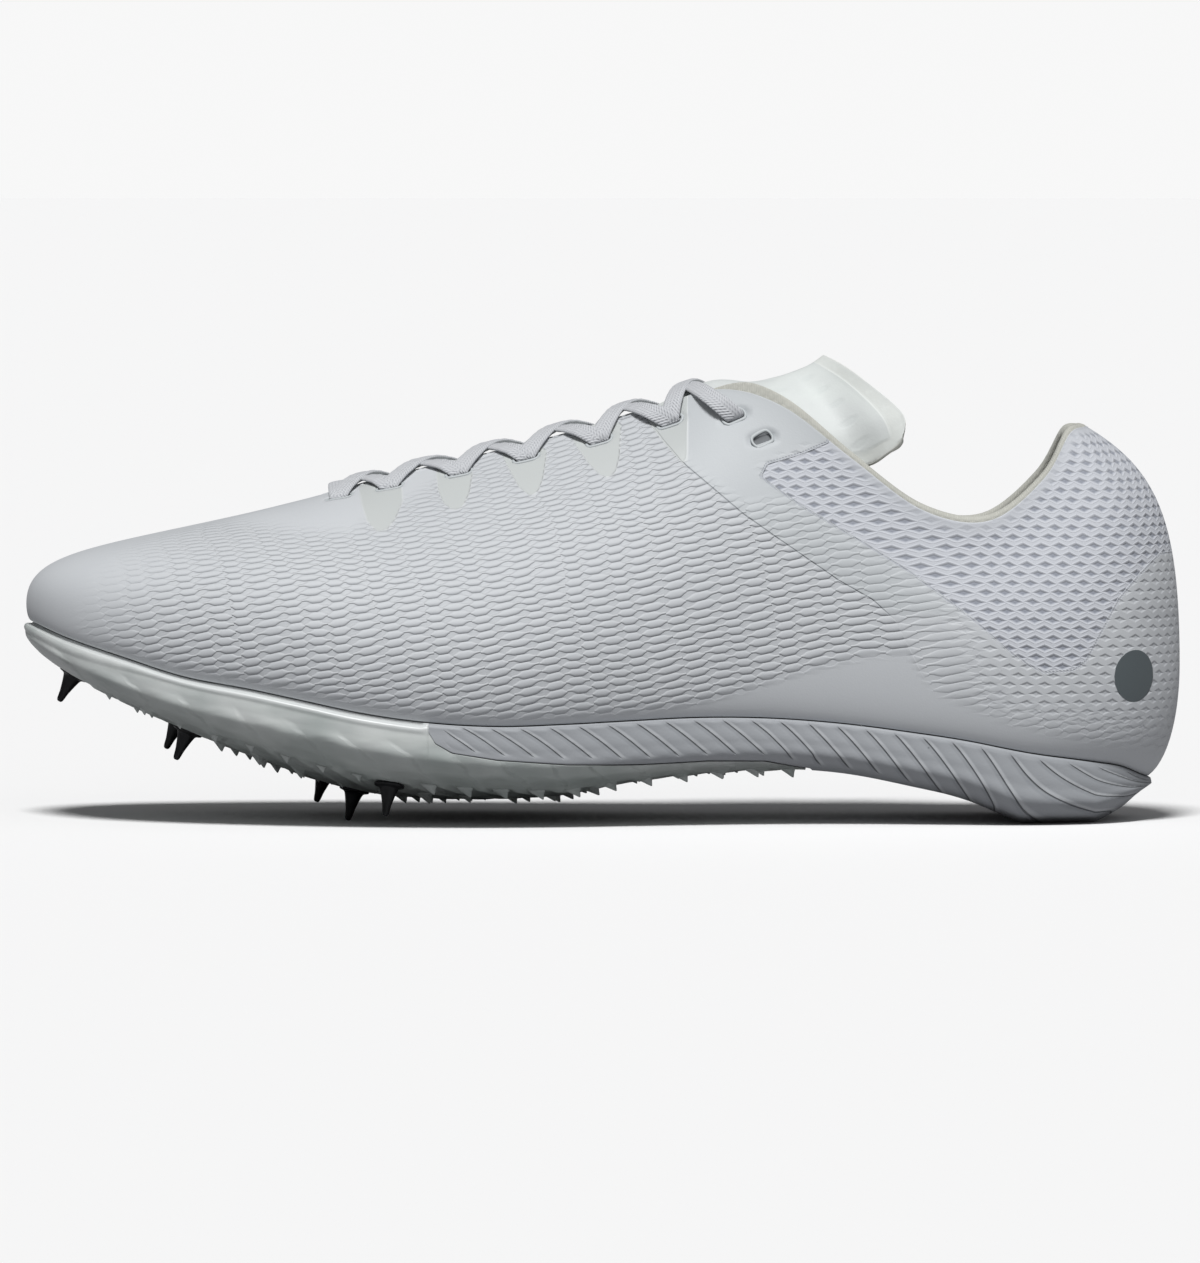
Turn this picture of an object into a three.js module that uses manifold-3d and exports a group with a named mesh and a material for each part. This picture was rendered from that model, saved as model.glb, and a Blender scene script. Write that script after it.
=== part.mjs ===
// A left track spike: a thin hollow upper on a foam midsole and a spike plate, toe towards -X.
// The outer side of the foot is at -Y. The floor is z = 0.

import * as THREE from 'three';
import Module from 'manifold-3d';

const wasm = await Module();
wasm.setup();

// Sizes in millimetres.
const length = 280;
const ballWidth = 87;
const instepHeight = 104;
const heelHeight = 95;
const stack = 26;
const wall = 1.5;
const collarPad = 2.2;
const gap = 0.3;
const insoleThickness = 3.2;
const cupWall = 2.4;
const ribsPerRow = 2;

// Once round the shoe from the toe. Each row is one section: the seat line where the upper meets
// the sole, then the edge of the opening above it. Places along the shoe are shares of its length
// from the toe, widths are shares of the ball width, outer side negative.
const sections = [
  { at: 0.003, outer: 0.092, inner: 0.092, out: 0.010, waist: 0.15, rimAt: 0.2535, rimOuter: 0.023, rimInner: 0.023 },
  { at: 0.016, outer: -0.063, inner: 0.224, out: 0.012, waist: 0.17, rimAt: 0.2550, rimOuter: 0.006, rimInner: 0.040 },
  { at: 0.046, outer: -0.201, inner: 0.322, out: 0.015, waist: 0.21, rimAt: 0.2590, rimOuter: -0.010, rimInner: 0.056 },
  { at: 0.089, outer: -0.305, inner: 0.385, out: 0.021, waist: 0.26, rimAt: 0.2670, rimOuter: -0.023, rimInner: 0.069 },
  { at: 0.143, outer: -0.385, inner: 0.431, out: 0.025, waist: 0.31, rimAt: 0.2800, rimOuter: -0.032, rimInner: 0.078 },
  { at: 0.204, outer: -0.443, inner: 0.460, out: 0.030, waist: 0.35, rimAt: 0.2980, rimOuter: -0.037, rimInner: 0.083 },
  { at: 0.268, outer: -0.483, inner: 0.477, out: 0.033, waist: 0.39, rimAt: 0.3230, rimOuter: -0.041, rimInner: 0.086 },
  { at: 0.336, outer: -0.500, inner: 0.471, out: 0.034, waist: 0.43, rimAt: 0.3640, rimOuter: -0.047, rimInner: 0.089 },
  { at: 0.404, outer: -0.494, inner: 0.443, out: 0.034, waist: 0.47, rimAt: 0.4170, rimOuter: -0.057, rimInner: 0.092 },
  { at: 0.471, outer: -0.460, inner: 0.391, out: 0.034, waist: 0.51, rimAt: 0.4770, rimOuter: -0.069, rimInner: 0.096 },
  { at: 0.539, outer: -0.408, inner: 0.333, out: 0.034, waist: 0.55, rimAt: 0.5410, rimOuter: -0.092, rimInner: 0.107 },
  { at: 0.604, outer: -0.362, inner: 0.299, out: 0.034, waist: 0.59, rimAt: 0.6000, rimOuter: -0.138, rimInner: 0.144 },
  { at: 0.664, outer: -0.333, inner: 0.287, out: 0.034, waist: 0.63, rimAt: 0.6550, rimOuter: -0.207, rimInner: 0.205 },
  { at: 0.725, outer: -0.322, inner: 0.293, out: 0.034, waist: 0.67, rimAt: 0.7140, rimOuter: -0.259, rimInner: 0.253 },
  { at: 0.786, outer: -0.328, inner: 0.310, out: 0.036, waist: 0.71, rimAt: 0.7750, rimOuter: -0.287, rimInner: 0.282 },
  { at: 0.843, outer: -0.328, inner: 0.316, out: 0.042, waist: 0.76, rimAt: 0.8320, rimOuter: -0.287, rimInner: 0.282 },
  { at: 0.896, outer: -0.293, inner: 0.287, out: 0.055, waist: 0.83, rimAt: 0.8790, rimOuter: -0.230, rimInner: 0.230 },
  { at: 0.939, outer: -0.213, inner: 0.213, out: 0.071, waist: 0.90, rimAt: 0.9020, rimOuter: -0.153, rimInner: 0.153 },
  { at: 0.964, outer: -0.109, inner: 0.109, out: 0.081, waist: 0.97, rimAt: 0.9150, rimOuter: -0.077, rimInner: 0.077 },
  { at: 0.973, outer: 0.000, inner: 0.000, out: 0.086, waist: 1.02, rimAt: 0.9200, rimOuter: 0.000, rimInner: 0.000 },
];

// The same rows, for the shape above the seat. Heights of the edge are shares of the instep height
// towards the throat and of the heel height towards the heel. Lean is the slope of the upper at its
// edge in degrees, brow and reach set how full the wall and the top of the section are.
const heights = [
  { outer: 0.752, inner: 0.752, lean: 14, brow: 0.54, reach: 0.69 },
  { outer: 0.753, inner: 0.753, lean: 14, brow: 0.54, reach: 0.69 },
  { outer: 0.757, inner: 0.757, lean: 14, brow: 0.53, reach: 0.68 },
  { outer: 0.763, inner: 0.763, lean: 15, brow: 0.51, reach: 0.66 },
  { outer: 0.772, inner: 0.772, lean: 16, brow: 0.48, reach: 0.61 },
  { outer: 0.786, inner: 0.786, lean: 18, brow: 0.45, reach: 0.55 },
  { outer: 0.803, inner: 0.803, lean: 21, brow: 0.42, reach: 0.49 },
  { outer: 0.829, inner: 0.829, lean: 25, brow: 0.40, reach: 0.43 },
  { outer: 0.862, inner: 0.862, lean: 30, brow: 0.40, reach: 0.38 },
  { outer: 0.904, inner: 0.904, lean: 36, brow: 0.41, reach: 0.34 },
  { outer: 0.957, inner: 0.957, lean: 44, brow: 0.43, reach: 0.32 },
  { outer: 1.003, inner: 0.998, lean: 56, brow: 0.45, reach: 0.30 },
  { outer: 0.967, inner: 0.957, lean: 70, brow: 0.46, reach: 0.30 },
  { outer: 0.863, inner: 0.850, lean: 79, brow: 0.46, reach: 0.30 },
  { outer: 0.763, inner: 0.748, lean: 83, brow: 0.46, reach: 0.30 },
  { outer: 0.757, inner: 0.745, lean: 81, brow: 0.48, reach: 0.29 },
  { outer: 0.870, inner: 0.865, lean: 72, brow: 0.52, reach: 0.27 },
  { outer: 0.983, inner: 0.983, lean: 50, brow: 0.57, reach: 0.29 },
  { outer: 1.001, inner: 1.001, lean: 38, brow: 0.60, reach: 0.31 },
  { outer: 1.000, inner: 1.000, lean: 31, brow: 0.61, reach: 0.32 },
];

// Side profile of the sole by share of the length, heights as shares of the stack: the seat under
// the upper, the parting of foam and plate, and the tread. Crown lifts the tread at its edges, lip
// and tuck are the reach of its side and the draw-in of its bottom edge in shares of the ball width.
const profile = [
  { at: -0.02, seat: 1.90, tread: 1.72, crown: 0.03, lip: 0.010, tuck: 0.020 },
  { at: 0.00, seat: 1.86, tread: 1.62, crown: 0.03, lip: 0.010, tuck: 0.022 },
  { at: 0.04, seat: 1.72, tread: 1.37, crown: 0.05, lip: 0.012, tuck: 0.030 },
  { at: 0.09, seat: 1.56, tread: 1.10, crown: 0.07, lip: 0.014, tuck: 0.040 },
  { at: 0.14, seat: 1.40, tread: 0.85, crown: 0.10, lip: 0.015, tuck: 0.045 },
  { at: 0.20, seat: 1.285, tread: 0.59, crown: 0.13, lip: 0.016, tuck: 0.050 },
  { at: 0.25, seat: 1.175, tread: 0.39, crown: 0.15, lip: 0.016, tuck: 0.055 },
  { at: 0.29, seat: 1.085, tread: 0.275, crown: 0.15, lip: 0.016, tuck: 0.060 },
  { at: 0.34, seat: 1.005, tread: 0.22, crown: 0.13, lip: 0.016, tuck: 0.065 },
  { at: 0.41, seat: 0.955, tread: 0.21, crown: 0.10, lip: 0.016, tuck: 0.070 },
  { at: 0.47, seat: 0.970, tread: 0.26, crown: 0.07, lip: 0.016, tuck: 0.070 },
  { at: 0.52, seat: 0.993, tread: 0.38, crown: 0.04, lip: 0.016, tuck: 0.070 },
  { at: 0.58, seat: 1.018, tread: 0.47, crown: 0.02, lip: 0.016, tuck: 0.070 },
  { at: 0.64, seat: 1.008, tread: 0.51, crown: 0.01, lip: 0.016, tuck: 0.075 },
  { at: 0.70, seat: 0.960, tread: 0.48, crown: 0.00, lip: 0.016, tuck: 0.085 },
  { at: 0.76, seat: 0.880, tread: 0.36, crown: 0.00, lip: 0.016, tuck: 0.100 },
  { at: 0.82, seat: 0.780, tread: 0.19, crown: 0.00, lip: 0.015, tuck: 0.120 },
  { at: 0.845, seat: 0.724, tread: 0.07, crown: 0.00, lip: 0.014, tuck: 0.130 },
  { at: 0.861, seat: 0.690, tread: 0.00, crown: 0.00, lip: 0.013, tuck: 0.130 },
  { at: 0.923, seat: 0.585, tread: 0.00, crown: 0.00, lip: 0.012, tuck: 0.115 },
  { at: 0.945, seat: 0.54, tread: 0.11, crown: 0.00, lip: 0.009, tuck: 0.080 },
  { at: 0.973, seat: 0.41, tread: 0.30, crown: 0.00, lip: 0.006, tuck: 0.040 },
  { at: 1.00, seat: 0.36, tread: 0.33, crown: 0.00, lip: 0.004, tuck: 0.020 },
];

// The underside is lowest a little to the inner side of the middle, by this share of the ball width.
const lowestLine = 0.08;

const last = sections.length - 1;
const period = 2 * last;
const up = new THREE.Vector3(0, 0, 1);
const mirrorRow = u => period - u;

const mix = (a, b, t) => a + (b - a) * t;
const clamp = (v, low, high) => Math.min(high, Math.max(low, v));

function ease(low, high, v) {
  const t = clamp((v - low) / (high - low), 0, 1);
  return t * t * (3 - 2 * t);
}

// Cubic through the rows of an open table, by their place along the shoe.
function along(rows, column, at) {
  const n = rows.length;
  const v = clamp(at, rows[0].at, rows[n - 1].at);
  let i = 0;
  while (i < n - 2 && rows[i + 1].at < v) i += 1;
  const rise = k => (rows[k + 1][column] - rows[k][column]) / (rows[k + 1].at - rows[k].at);
  const slope = k => {
    if (k === 0) return rise(0);
    if (k === n - 1) return rise(n - 2);
    const before = rows[k].at - rows[k - 1].at;
    const after = rows[k + 1].at - rows[k].at;
    return (rise(k - 1) * after + rise(k) * before) / (before + after);
  };
  const span = rows[i + 1].at - rows[i].at;
  const t = (v - rows[i].at) / span;
  const a = rows[i][column];
  const b = rows[i + 1][column];
  const ta = slope(i) * span;
  const tb = slope(i + 1) * span;
  return a * (1 + 2 * t) * (1 - t) ** 2 + ta * t * (1 - t) ** 2
    + b * t * t * (3 - 2 * t) + tb * t * t * (t - 1);
}

// Cubic through the rows of a table that runs round the shoe, outer side out, inner side back.
function around(rows, outer, inner, u) {
  const value = k => {
    const j = ((k % period) + period) % period;
    return j <= last ? rows[j][outer] : rows[period - j][inner];
  };
  const i = Math.floor(u);
  const t = u - i;
  const [a, b, c, d] = [value(i - 1), value(i), value(i + 1), value(i + 2)];
  return b + 0.5 * t * (c - a + t * (2 * a - 5 * b + 4 * c - d + t * (3 * (b - c) + d - a)));
}

// The origin is in the middle of the flat spot under the heel.
const heelRest = 0.894;
const xAt = share => (share - heelRest) * length;
const shareAt = x => x / length + heelRest;
const seatAt = x => stack * along(profile, 'seat', shareAt(x));
const treadAt = x => Math.max(0, stack * along(profile, 'tread', shareAt(x)));
const crownAt = x => Math.max(0, stack * along(profile, 'crown', shareAt(x)));
const lipAt = x => ballWidth * along(profile, 'lip', shareAt(x));
const tuckAt = x => ballWidth * along(profile, 'tuck', shareAt(x));

// Point of the seat line in plan and the level direction out of it.
function seatLine(u) {
  const x = xAt(around(sections, 'at', 'at', u));
  const y = ballWidth * around(sections, 'outer', 'inner', u);
  const step = 0.02;
  const dx = length * (around(sections, 'at', 'at', u + step) - around(sections, 'at', 'at', u - step));
  const dy = ballWidth
    * (around(sections, 'outer', 'inner', u + step) - around(sections, 'outer', 'inner', u - step));
  return { x, y, out: new THREE.Vector3(dy, -dx, 0).normalize() };
}

function rimPoint(u) {
  const share = around(sections, 'rimAt', 'rimAt', u);
  const top = mix(instepHeight, heelHeight, ease(0.62, 0.90, share));
  return new THREE.Vector3(
    xAt(share),
    ballWidth * around(sections, 'rimOuter', 'rimInner', u),
    top * around(heights, 'outer', 'inner', u),
  );
}

function bezier(p, t) {
  const s = 1 - t;
  return new THREE.Vector3()
    .addScaledVector(p[0], s * s * s)
    .addScaledVector(p[1], 3 * s * s * t)
    .addScaledVector(p[2], 3 * s * t * t)
    .addScaledVector(p[3], t * t * t);
}

// Outside of the upper at rib u: t = 0 on the seat, 0.2 at the widest place, 1 on the edge.
const waistShare = 0.2;

function skin(u, t) {
  const foot = seatLine(u);
  const seat = new THREE.Vector3(foot.x, foot.y, seatAt(foot.x));
  const bulge = ballWidth * around(sections, 'out', 'out', u);
  const rise = stack * around(sections, 'waist', 'waist', u);
  const waist = seat.clone().addScaledVector(foot.out, bulge).addScaledVector(up, rise);
  if (t <= waistShare) {
    const low = seat.clone().addScaledVector(foot.out, 0.7 * bulge).addScaledVector(up, 0.15 * rise);
    const high = waist.clone().addScaledVector(up, -0.4 * rise);
    return bezier([seat, low, high, waist], t / waistShare);
  }
  const rim = rimPoint(u);
  const away = new THREE.Vector3(seat.x - rim.x, seat.y - rim.y, 0).normalize();
  const lean = THREE.MathUtils.degToRad(around(heights, 'lean', 'lean', u));
  const reach = around(heights, 'reach', 'reach', u) * waist.distanceTo(rim);
  const brow = waist.clone().addScaledVector(up, around(heights, 'brow', 'brow', u) * (rim.z - waist.z));
  const crest = rim.clone()
    .addScaledVector(away, reach * Math.cos(lean))
    .addScaledVector(up, -reach * Math.sin(lean));
  return bezier([waist, brow, crest, rim], (t - waistShare) / (1 - waistShare));
}

function skinNormal(u, t) {
  const du = 0.03;
  const dt = 0.01;
  const low = Math.max(0, t - dt);
  const high = Math.min(1, t + dt);
  const ahead = skin(u + du, t).sub(skin(u - du, t));
  const rise = skin(u, high).sub(skin(u, low));
  return ahead.cross(rise).normalize();
}

// Padding grows towards the edge of the collar and leaves the throat thin. It starts between these
// two rows of the table.
const padFrom = 0.59 * last;
const padFull = 0.71 * last;

function wallAt(u, t) {
  const walk = Math.min(u % period, period - (u % period));
  return wall + collarPad * ease(padFrom, padFull, walk) * ease(0.55, 0.95, t);
}

function inside(u, t, more = 0) {
  return skin(u, t).addScaledVector(skinNormal(u, t), -(wallAt(u, t) + more));
}

function solidFrom(points, faces) {
  const keys = new Map();
  const vertices = [];
  const index = points.map(p => {
    const key = [p.x, p.y, p.z].map(v => Math.round(v * 5000)).join(',');
    if (!keys.has(key)) {
      keys.set(key, vertices.length / 3);
      vertices.push(p.x, p.y, p.z);
    }
    return keys.get(key);
  });
  const triangles = [];
  for (const face of faces) {
    const [a, b, c] = face.map(k => index[k]);
    if (a !== b && b !== c && c !== a) triangles.push(a, b, c);
  }
  return new wasm.Manifold(new wasm.Mesh({
    numProp: 3,
    vertProperties: new Float32Array(vertices),
    triVerts: new Uint32Array(triangles),
  }));
}

// Closed ring of loops: each loop joins the next, the last joins the first.
function ringSolid(loops) {
  const n = loops[0].length;
  const points = loops.flat();
  const faces = [];
  loops.forEach((loop, k) => {
    const here = k * n;
    const next = ((k + 1) % loops.length) * n;
    for (let i = 0; i < n; i += 1) {
      const j = (i + 1) % n;
      faces.push([here + i, here + j, next + j], [here + i, next + j, next + i]);
    }
  });
  return solidFrom(points, faces);
}

const ribs = Array.from({ length: period * ribsPerRow }, (_, i) => i / ribsPerRow);

function upperSolid() {
  const rows = [0, 0.08, 0.2, 0.31, 0.42, 0.53, 0.64, 0.76, 0.88, 1];
  const outerLoops = rows.map(t => ribs.map(u => skin(u, t)));
  const innerRows = [0.985, 0.86, 0.70, 0.52, 0.33, 0.12];
  const innerLoops = innerRows.map(t => ribs.map(u => inside(u, t)));
  const roll = ribs.map(u => {
    const edge = skin(u, 1);
    const thick = wallAt(u, 1);
    const soft = (thick - wall) / Math.max(collarPad, 0.01);
    return edge.addScaledVector(skinNormal(u, 1), -0.5 * thick)
      .addScaledVector(up, 0.25 * thick + 0.9 * soft);
  });
  const foot = ribs.map(u => {
    const p = seatLine(u);
    const point = new THREE.Vector3(p.x, p.y, 0).addScaledVector(p.out, -wall);
    point.z = seatAt(point.x);
    return point;
  });
  return ringSolid([...outerLoops, roll, ...innerLoops, foot]);
}

// Underside of the sole: the tread line, lifted away from the lowest line across.
const underside = (x, y) => treadAt(x) + crownAt(x) * (y / (0.4 * ballWidth) - lowestLine / 0.4) ** 2;

// A slab of the sole: rings round the seat line from its top edge to its bottom edge, closed by a
// grid across. Each ring is an offset out of the seat line and a share of the way down.
function slab(rings, topOf, bottomOf, across = []) {
  const count = ribs.length;
  const half = count / 2;
  const points = [];
  const loops = rings.map(ring => ribs.map(u => {
    const p = seatLine(u);
    const x = p.x + p.out.x * ring.out(p.x);
    const y = p.y + p.out.y * ring.out(p.x);
    points.push(new THREE.Vector3(x, y, mix(topOf(x), bottomOf(x, y), ring.down) + (ring.lift ?? 0)));
    return points.length - 1;
  }));
  const faces = [];
  for (let k = 0; k < loops.length - 1; k += 1) {
    for (let i = 0; i < count; i += 1) {
      const j = (i + 1) % count;
      const [a, b, c, d] = [loops[k][i], loops[k][j], loops[k + 1][j], loops[k + 1][i]];
      faces.push([a, c, b], [a, d, c]);
    }
  }
  const grid = (loop, height) => Array.from({ length: half + 1 }, (_, i) => {
    const outer = points[loop[i]];
    const inner = points[loop[(count - i) % count]];
    const row = [loop[i]];
    for (const r of across) {
      const x = mix(outer.x, inner.x, (r + 1) / 2);
      const y = mix(outer.y, inner.y, (r + 1) / 2);
      points.push(new THREE.Vector3(x, y, height(x, y)));
      row.push(points.length - 1);
    }
    row.push(loop[(count - i) % count]);
    if (i === 0 || i === half) return row.map(() => loop[i]);
    return row;
  });
  const weave = (rows, turn) => {
    for (let i = 0; i < rows.length - 1; i += 1) {
      for (let k = 0; k < rows[0].length - 1; k += 1) {
        const [a, b, c, d] = [rows[i][k], rows[i + 1][k], rows[i + 1][k + 1], rows[i][k + 1]];
        if (turn) faces.push([a, c, b], [a, d, c]);
        else faces.push([a, b, c], [a, c, d]);
      }
    }
  };
  weave(grid(loops[0], x => topOf(x) + (rings[0].lift ?? 0)), false);
  weave(grid(loops[loops.length - 1], bottomOf), true);
  return solidFrom(points, faces);
}

// A closed shape drawn in the side view and pushed through the width of the shoe.
function sideCut(shape, reach = ballWidth) {
  const n = shape.length;
  const points = [];
  for (const y of [-reach, reach]) for (const [x, z] of shape) points.push(new THREE.Vector3(x, y, z));
  const caps = THREE.ShapeUtils.triangulateShape(shape.map(([x, z]) => new THREE.Vector2(x, z)), []);
  const faces = [];
  for (const [a, b, c] of caps) faces.push([a, b, c], [a + n, c + n, b + n]);
  for (let i = 0; i < n; i += 1) {
    const j = (i + 1) % n;
    faces.push([i, i + n, j], [j, i + n, j + n]);
  }
  const solid = solidFrom(points, faces);
  return solid.volume() > 0 ? solid : solidFrom(points, faces.map(([a, b, c]) => [a, c, b]));
}

// Where foam gives way to the plate, in the side view, read from toe to heel.
const parting = [
  { at: 0.352, up: 0.86 },
  { at: 0.358, up: 0.70 },
  { at: 0.372, up: 0.58 },
  { at: 0.410, up: 0.52 },
  { at: 0.470, up: 0.51 },
  { at: 0.530, up: 0.55 },
  { at: 0.590, up: 0.60 },
  { at: 0.640, up: 0.60 },
  { at: 0.680, up: 0.52 },
  { at: 0.700, up: 0.20 },
];

function foamRegion(grow) {
  const shape = [[xAt(0.352) - grow, 3 * stack]];
  for (const row of parting) shape.push([xAt(row.at) - grow, stack * row.up - grow]);
  shape.push([xAt(0.705) - grow, -stack], [xAt(1.1), -stack], [xAt(1.1), 3 * stack]);
  return sideCut(shape);
}

const soleTop = x => seatAt(x) - gap;
const topEdge = 0.4;

// The side of the sole, ring by ring from its top edge down.
const soleRings = [
  { out: x => lipAt(x) - topEdge, down: 0 },
  { out: x => lipAt(x), down: 0.08 },
  { out: x => 1.3 * lipAt(x), down: 0.42 },
  { out: x => 0.8 * lipAt(x), down: 0.72 },
  { out: x => -0.3 * tuckAt(x), down: 0.9 },
  { out: x => -tuckAt(x), down: 1 },
];

// Rib of the seat line at a place along the shoe, on the outer side (-1) or the inner side (1).
function ribAt(x, side) {
  let low = 0;
  let high = last;
  for (let k = 0; k < 24; k += 1) {
    const middle = (low + high) / 2;
    if (seatLine(middle).x < x) low = middle;
    else high = middle;
  }
  return side < 0 ? low : mirrorRow(low);
}

// Point on the side of the sole, and the way out of it.
function sidePoint(x, side, down) {
  const p = seatLine(ribAt(x, side));
  let k = 0;
  while (k < soleRings.length - 2 && soleRings[k + 1].down < down) k += 1;
  const share = (down - soleRings[k].down) / (soleRings[k + 1].down - soleRings[k].down);
  const out = mix(soleRings[k].out(x), soleRings[k + 1].out(x), share);
  const point = new THREE.Vector3(p.x, p.y, 0).addScaledVector(p.out, out);
  point.z = mix(soleTop(point.x), underside(point.x, point.y), down);
  return { point, out: p.out };
}

// Slanting grooves in the side of the foam, from under its top edge towards the heel and the tread.
const groovePitch = 6.9;
const grooveRun = 11.6;
const grooveDepth = 0.9;
const grooveWidth = 1.1;
const grooveFrom = 0.368;
const grooveTo = 0.925;

function grooveSolid(x, side) {
  const head = sidePoint(x, side, 0.13);
  const tail = sidePoint(Math.min(x + grooveRun, xAt(0.955)), side, 0.70);
  const run = tail.point.clone().sub(head.point).normalize();
  const loops = [head, tail].map(({ point, out }) => {
    const across = run.clone().cross(out).normalize().multiplyScalar(grooveWidth);
    const deep = point.clone().addScaledVector(out, -0.6 * grooveDepth);
    const clear = point.clone().addScaledVector(out, 2 * grooveDepth);
    return [deep, clear.clone().add(across), clear.clone().sub(across)];
  });
  const faces = [[0, 1, 2], [3, 5, 4], [0, 3, 1], [1, 3, 4], [1, 4, 2], [2, 4, 5], [2, 5, 0], [0, 5, 3]];
  const solid = solidFrom(loops.flat(), faces);
  return solid.volume() > 0 ? solid : solidFrom(loops.flat(), faces.map(([a, b, c]) => [a, c, b]));
}

function grooves() {
  const cuts = [];
  for (const side of [-1, 1]) {
    for (let x = xAt(grooveFrom); x < xAt(grooveTo); x += groovePitch) cuts.push(grooveSolid(x, side));
  }
  return wasm.Manifold.union(cuts);
}

// Small teeth along both edges of the tread of the plate.
const toothPitch = 8.6;
const toothHeight = 1.9;
const toothBase = 2.0;
const toothInset = 3.2;
const toothFrom = 0.075;
const toothTo = 0.665;

function toothSolid(x, side) {
  const p = seatLine(ribAt(x, side));
  const y = p.y - side * (tuckAt(x) + toothInset);
  const foot = new THREE.Vector3(x, y, underside(x, y));
  const slope = (underside(x + 1, y) - underside(x - 1, y)) / 2;
  const axis = new THREE.Vector3(slope, 0, -1).normalize();
  const run = new THREE.Vector3(1, 0, slope).normalize();
  const corner = (a, b) => foot.clone().addScaledVector(run, a * toothBase)
    .addScaledVector(axis, -0.5).add(new THREE.Vector3(0, b * toothBase, 0));
  const tip = foot.clone().addScaledVector(axis, toothHeight).addScaledVector(run, 0.6 * toothBase);
  const points = [corner(-1, -1), corner(1, -1), corner(1, 1), corner(-1, 1), tip];
  const faces = [[0, 1, 2], [0, 2, 3], [0, 4, 1], [1, 4, 2], [2, 4, 3], [3, 4, 0]];
  const solid = solidFrom(points, faces);
  return solid.volume() > 0 ? solid : solidFrom(points, faces.map(([a, b, c]) => [a, c, b]));
}

function teeth() {
  const made = [];
  for (const side of [-1, 1]) {
    for (let x = xAt(toothFrom); x < xAt(toothTo); x += toothPitch) {
      const clear = pins.every(pin => {
        const p = seatLine(ribAt(x, side));
        const y = p.y - side * (tuckAt(x) + toothInset);
        return Math.hypot(xAt(pin.at) - x, ballWidth * pin.side - y) > flangeRadius + 2 * toothBase;
      });
      if (clear) made.push(toothSolid(x, side));
    }
  }
  return wasm.Manifold.union(made);
}

function soleSolids() {
  const top = soleTop;
  const full = slab(soleRings, top, underside, [-0.6, -0.2, 0.2, 0.6]);
  const core = (grow, lift) => slab([
    { out: () => grow - cupWall, down: 0, lift },
    { out: () => grow - cupWall, down: 0 },
    { out: () => grow - cupWall, down: 0.6 },
    { out: x => grow - cupWall - 0.6 * tuckAt(x), down: 1 },
  ], top, (x, y) => underside(x, y) + cupWall - grow, [-0.5, 0, 0.5]);
  const frontRegion = grow => sideCut([
    [xAt(0.02) - grow, -stack], [xAt(0.38), -stack], [xAt(0.38), 4 * stack], [xAt(0.02) - grow, 4 * stack],
  ]);
  const foamFront = core(0, 0).intersect(frontRegion(0));
  const midsole = full.intersect(foamRegion(0)).add(foamFront).subtract(grooves());
  const plate = full
    .subtract(foamRegion(gap))
    .subtract(core(gap, 2 * stack).intersect(frontRegion(gap)))
    .add(teeth());
  return { midsole, plate };
}

function insoleSolid() {
  const inset = -(wall + 0.5);
  return slab([
    { out: () => inset - 0.6, down: 0 },
    { out: () => inset, down: 0.25 },
    { out: () => inset, down: 1 },
  ], x => seatAt(x) + insoleThickness, x => seatAt(x));
}

// Tongue rows that lie under the throat, by rib, and how far down the wall their edges reach. The
// crown is given where the tongue starts to rise out of the collar.
const coveredTongue = [
  { row: 4.3, edge: 0.90 },
  { row: 5.3, edge: 0.88 },
  { row: 6.3, edge: 0.87 },
  { row: 7.2, edge: 0.86 },
  { row: 8.1, edge: 0.85 },
  { row: 9.0, edge: 0.84 },
  { row: 9.9, edge: 0.84 },
  { row: 10.8, edge: 0.85 },
  { row: 11.6, edge: 0.88, crown: { at: 0.628, up: 1.020 } },
  { row: 12.4, edge: 0.91, crown: { at: 0.648, up: 1.030 } },
];

// Tongue rows that stand free above the collar, each from its edge to its crown. Shares of the
// length, the ball width and the instep height.
const freeTongue = [
  {
    edge: { at: 0.722, side: 0.199, up: 0.832 },
    shoulder: { at: 0.708, side: 0.180, up: 0.915 },
    middle: { at: 0.687, side: 0.112, up: 0.990 },
    crown: { at: 0.664, side: 0.000, up: 1.043 },
  },
  {
    edge: { at: 0.745, side: 0.226, up: 0.864 },
    shoulder: { at: 0.733, side: 0.204, up: 0.938 },
    middle: { at: 0.706, side: 0.124, up: 1.014 },
    crown: { at: 0.679, side: 0.000, up: 1.060 },
  },
  {
    edge: { at: 0.757, side: 0.244, up: 0.895 },
    shoulder: { at: 0.757, side: 0.222, up: 0.952 },
    middle: { at: 0.716, side: 0.134, up: 1.044 },
    crown: { at: 0.691, side: 0.000, up: 1.082 },
  },
];
const tongueThickness = 1.6;

function blend(points, t) {
  const n = points.length - 1;
  const i = Math.min(n - 1, Math.floor(t * n));
  const f = t * n - i;
  const [a, b, c, d] = [i - 1, i, i + 1, i + 2].map(k => points[clamp(k, 0, n)]);
  const axis = k => {
    const [p, q, r, w] = [a[k], b[k], c[k], d[k]];
    return q + 0.5 * f * (r - p + f * (2 * p - 5 * q + 4 * r - w + f * (3 * (q - r) + w - p)));
  };
  return new THREE.Vector3(axis('x'), axis('y'), axis('z'));
}

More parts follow.
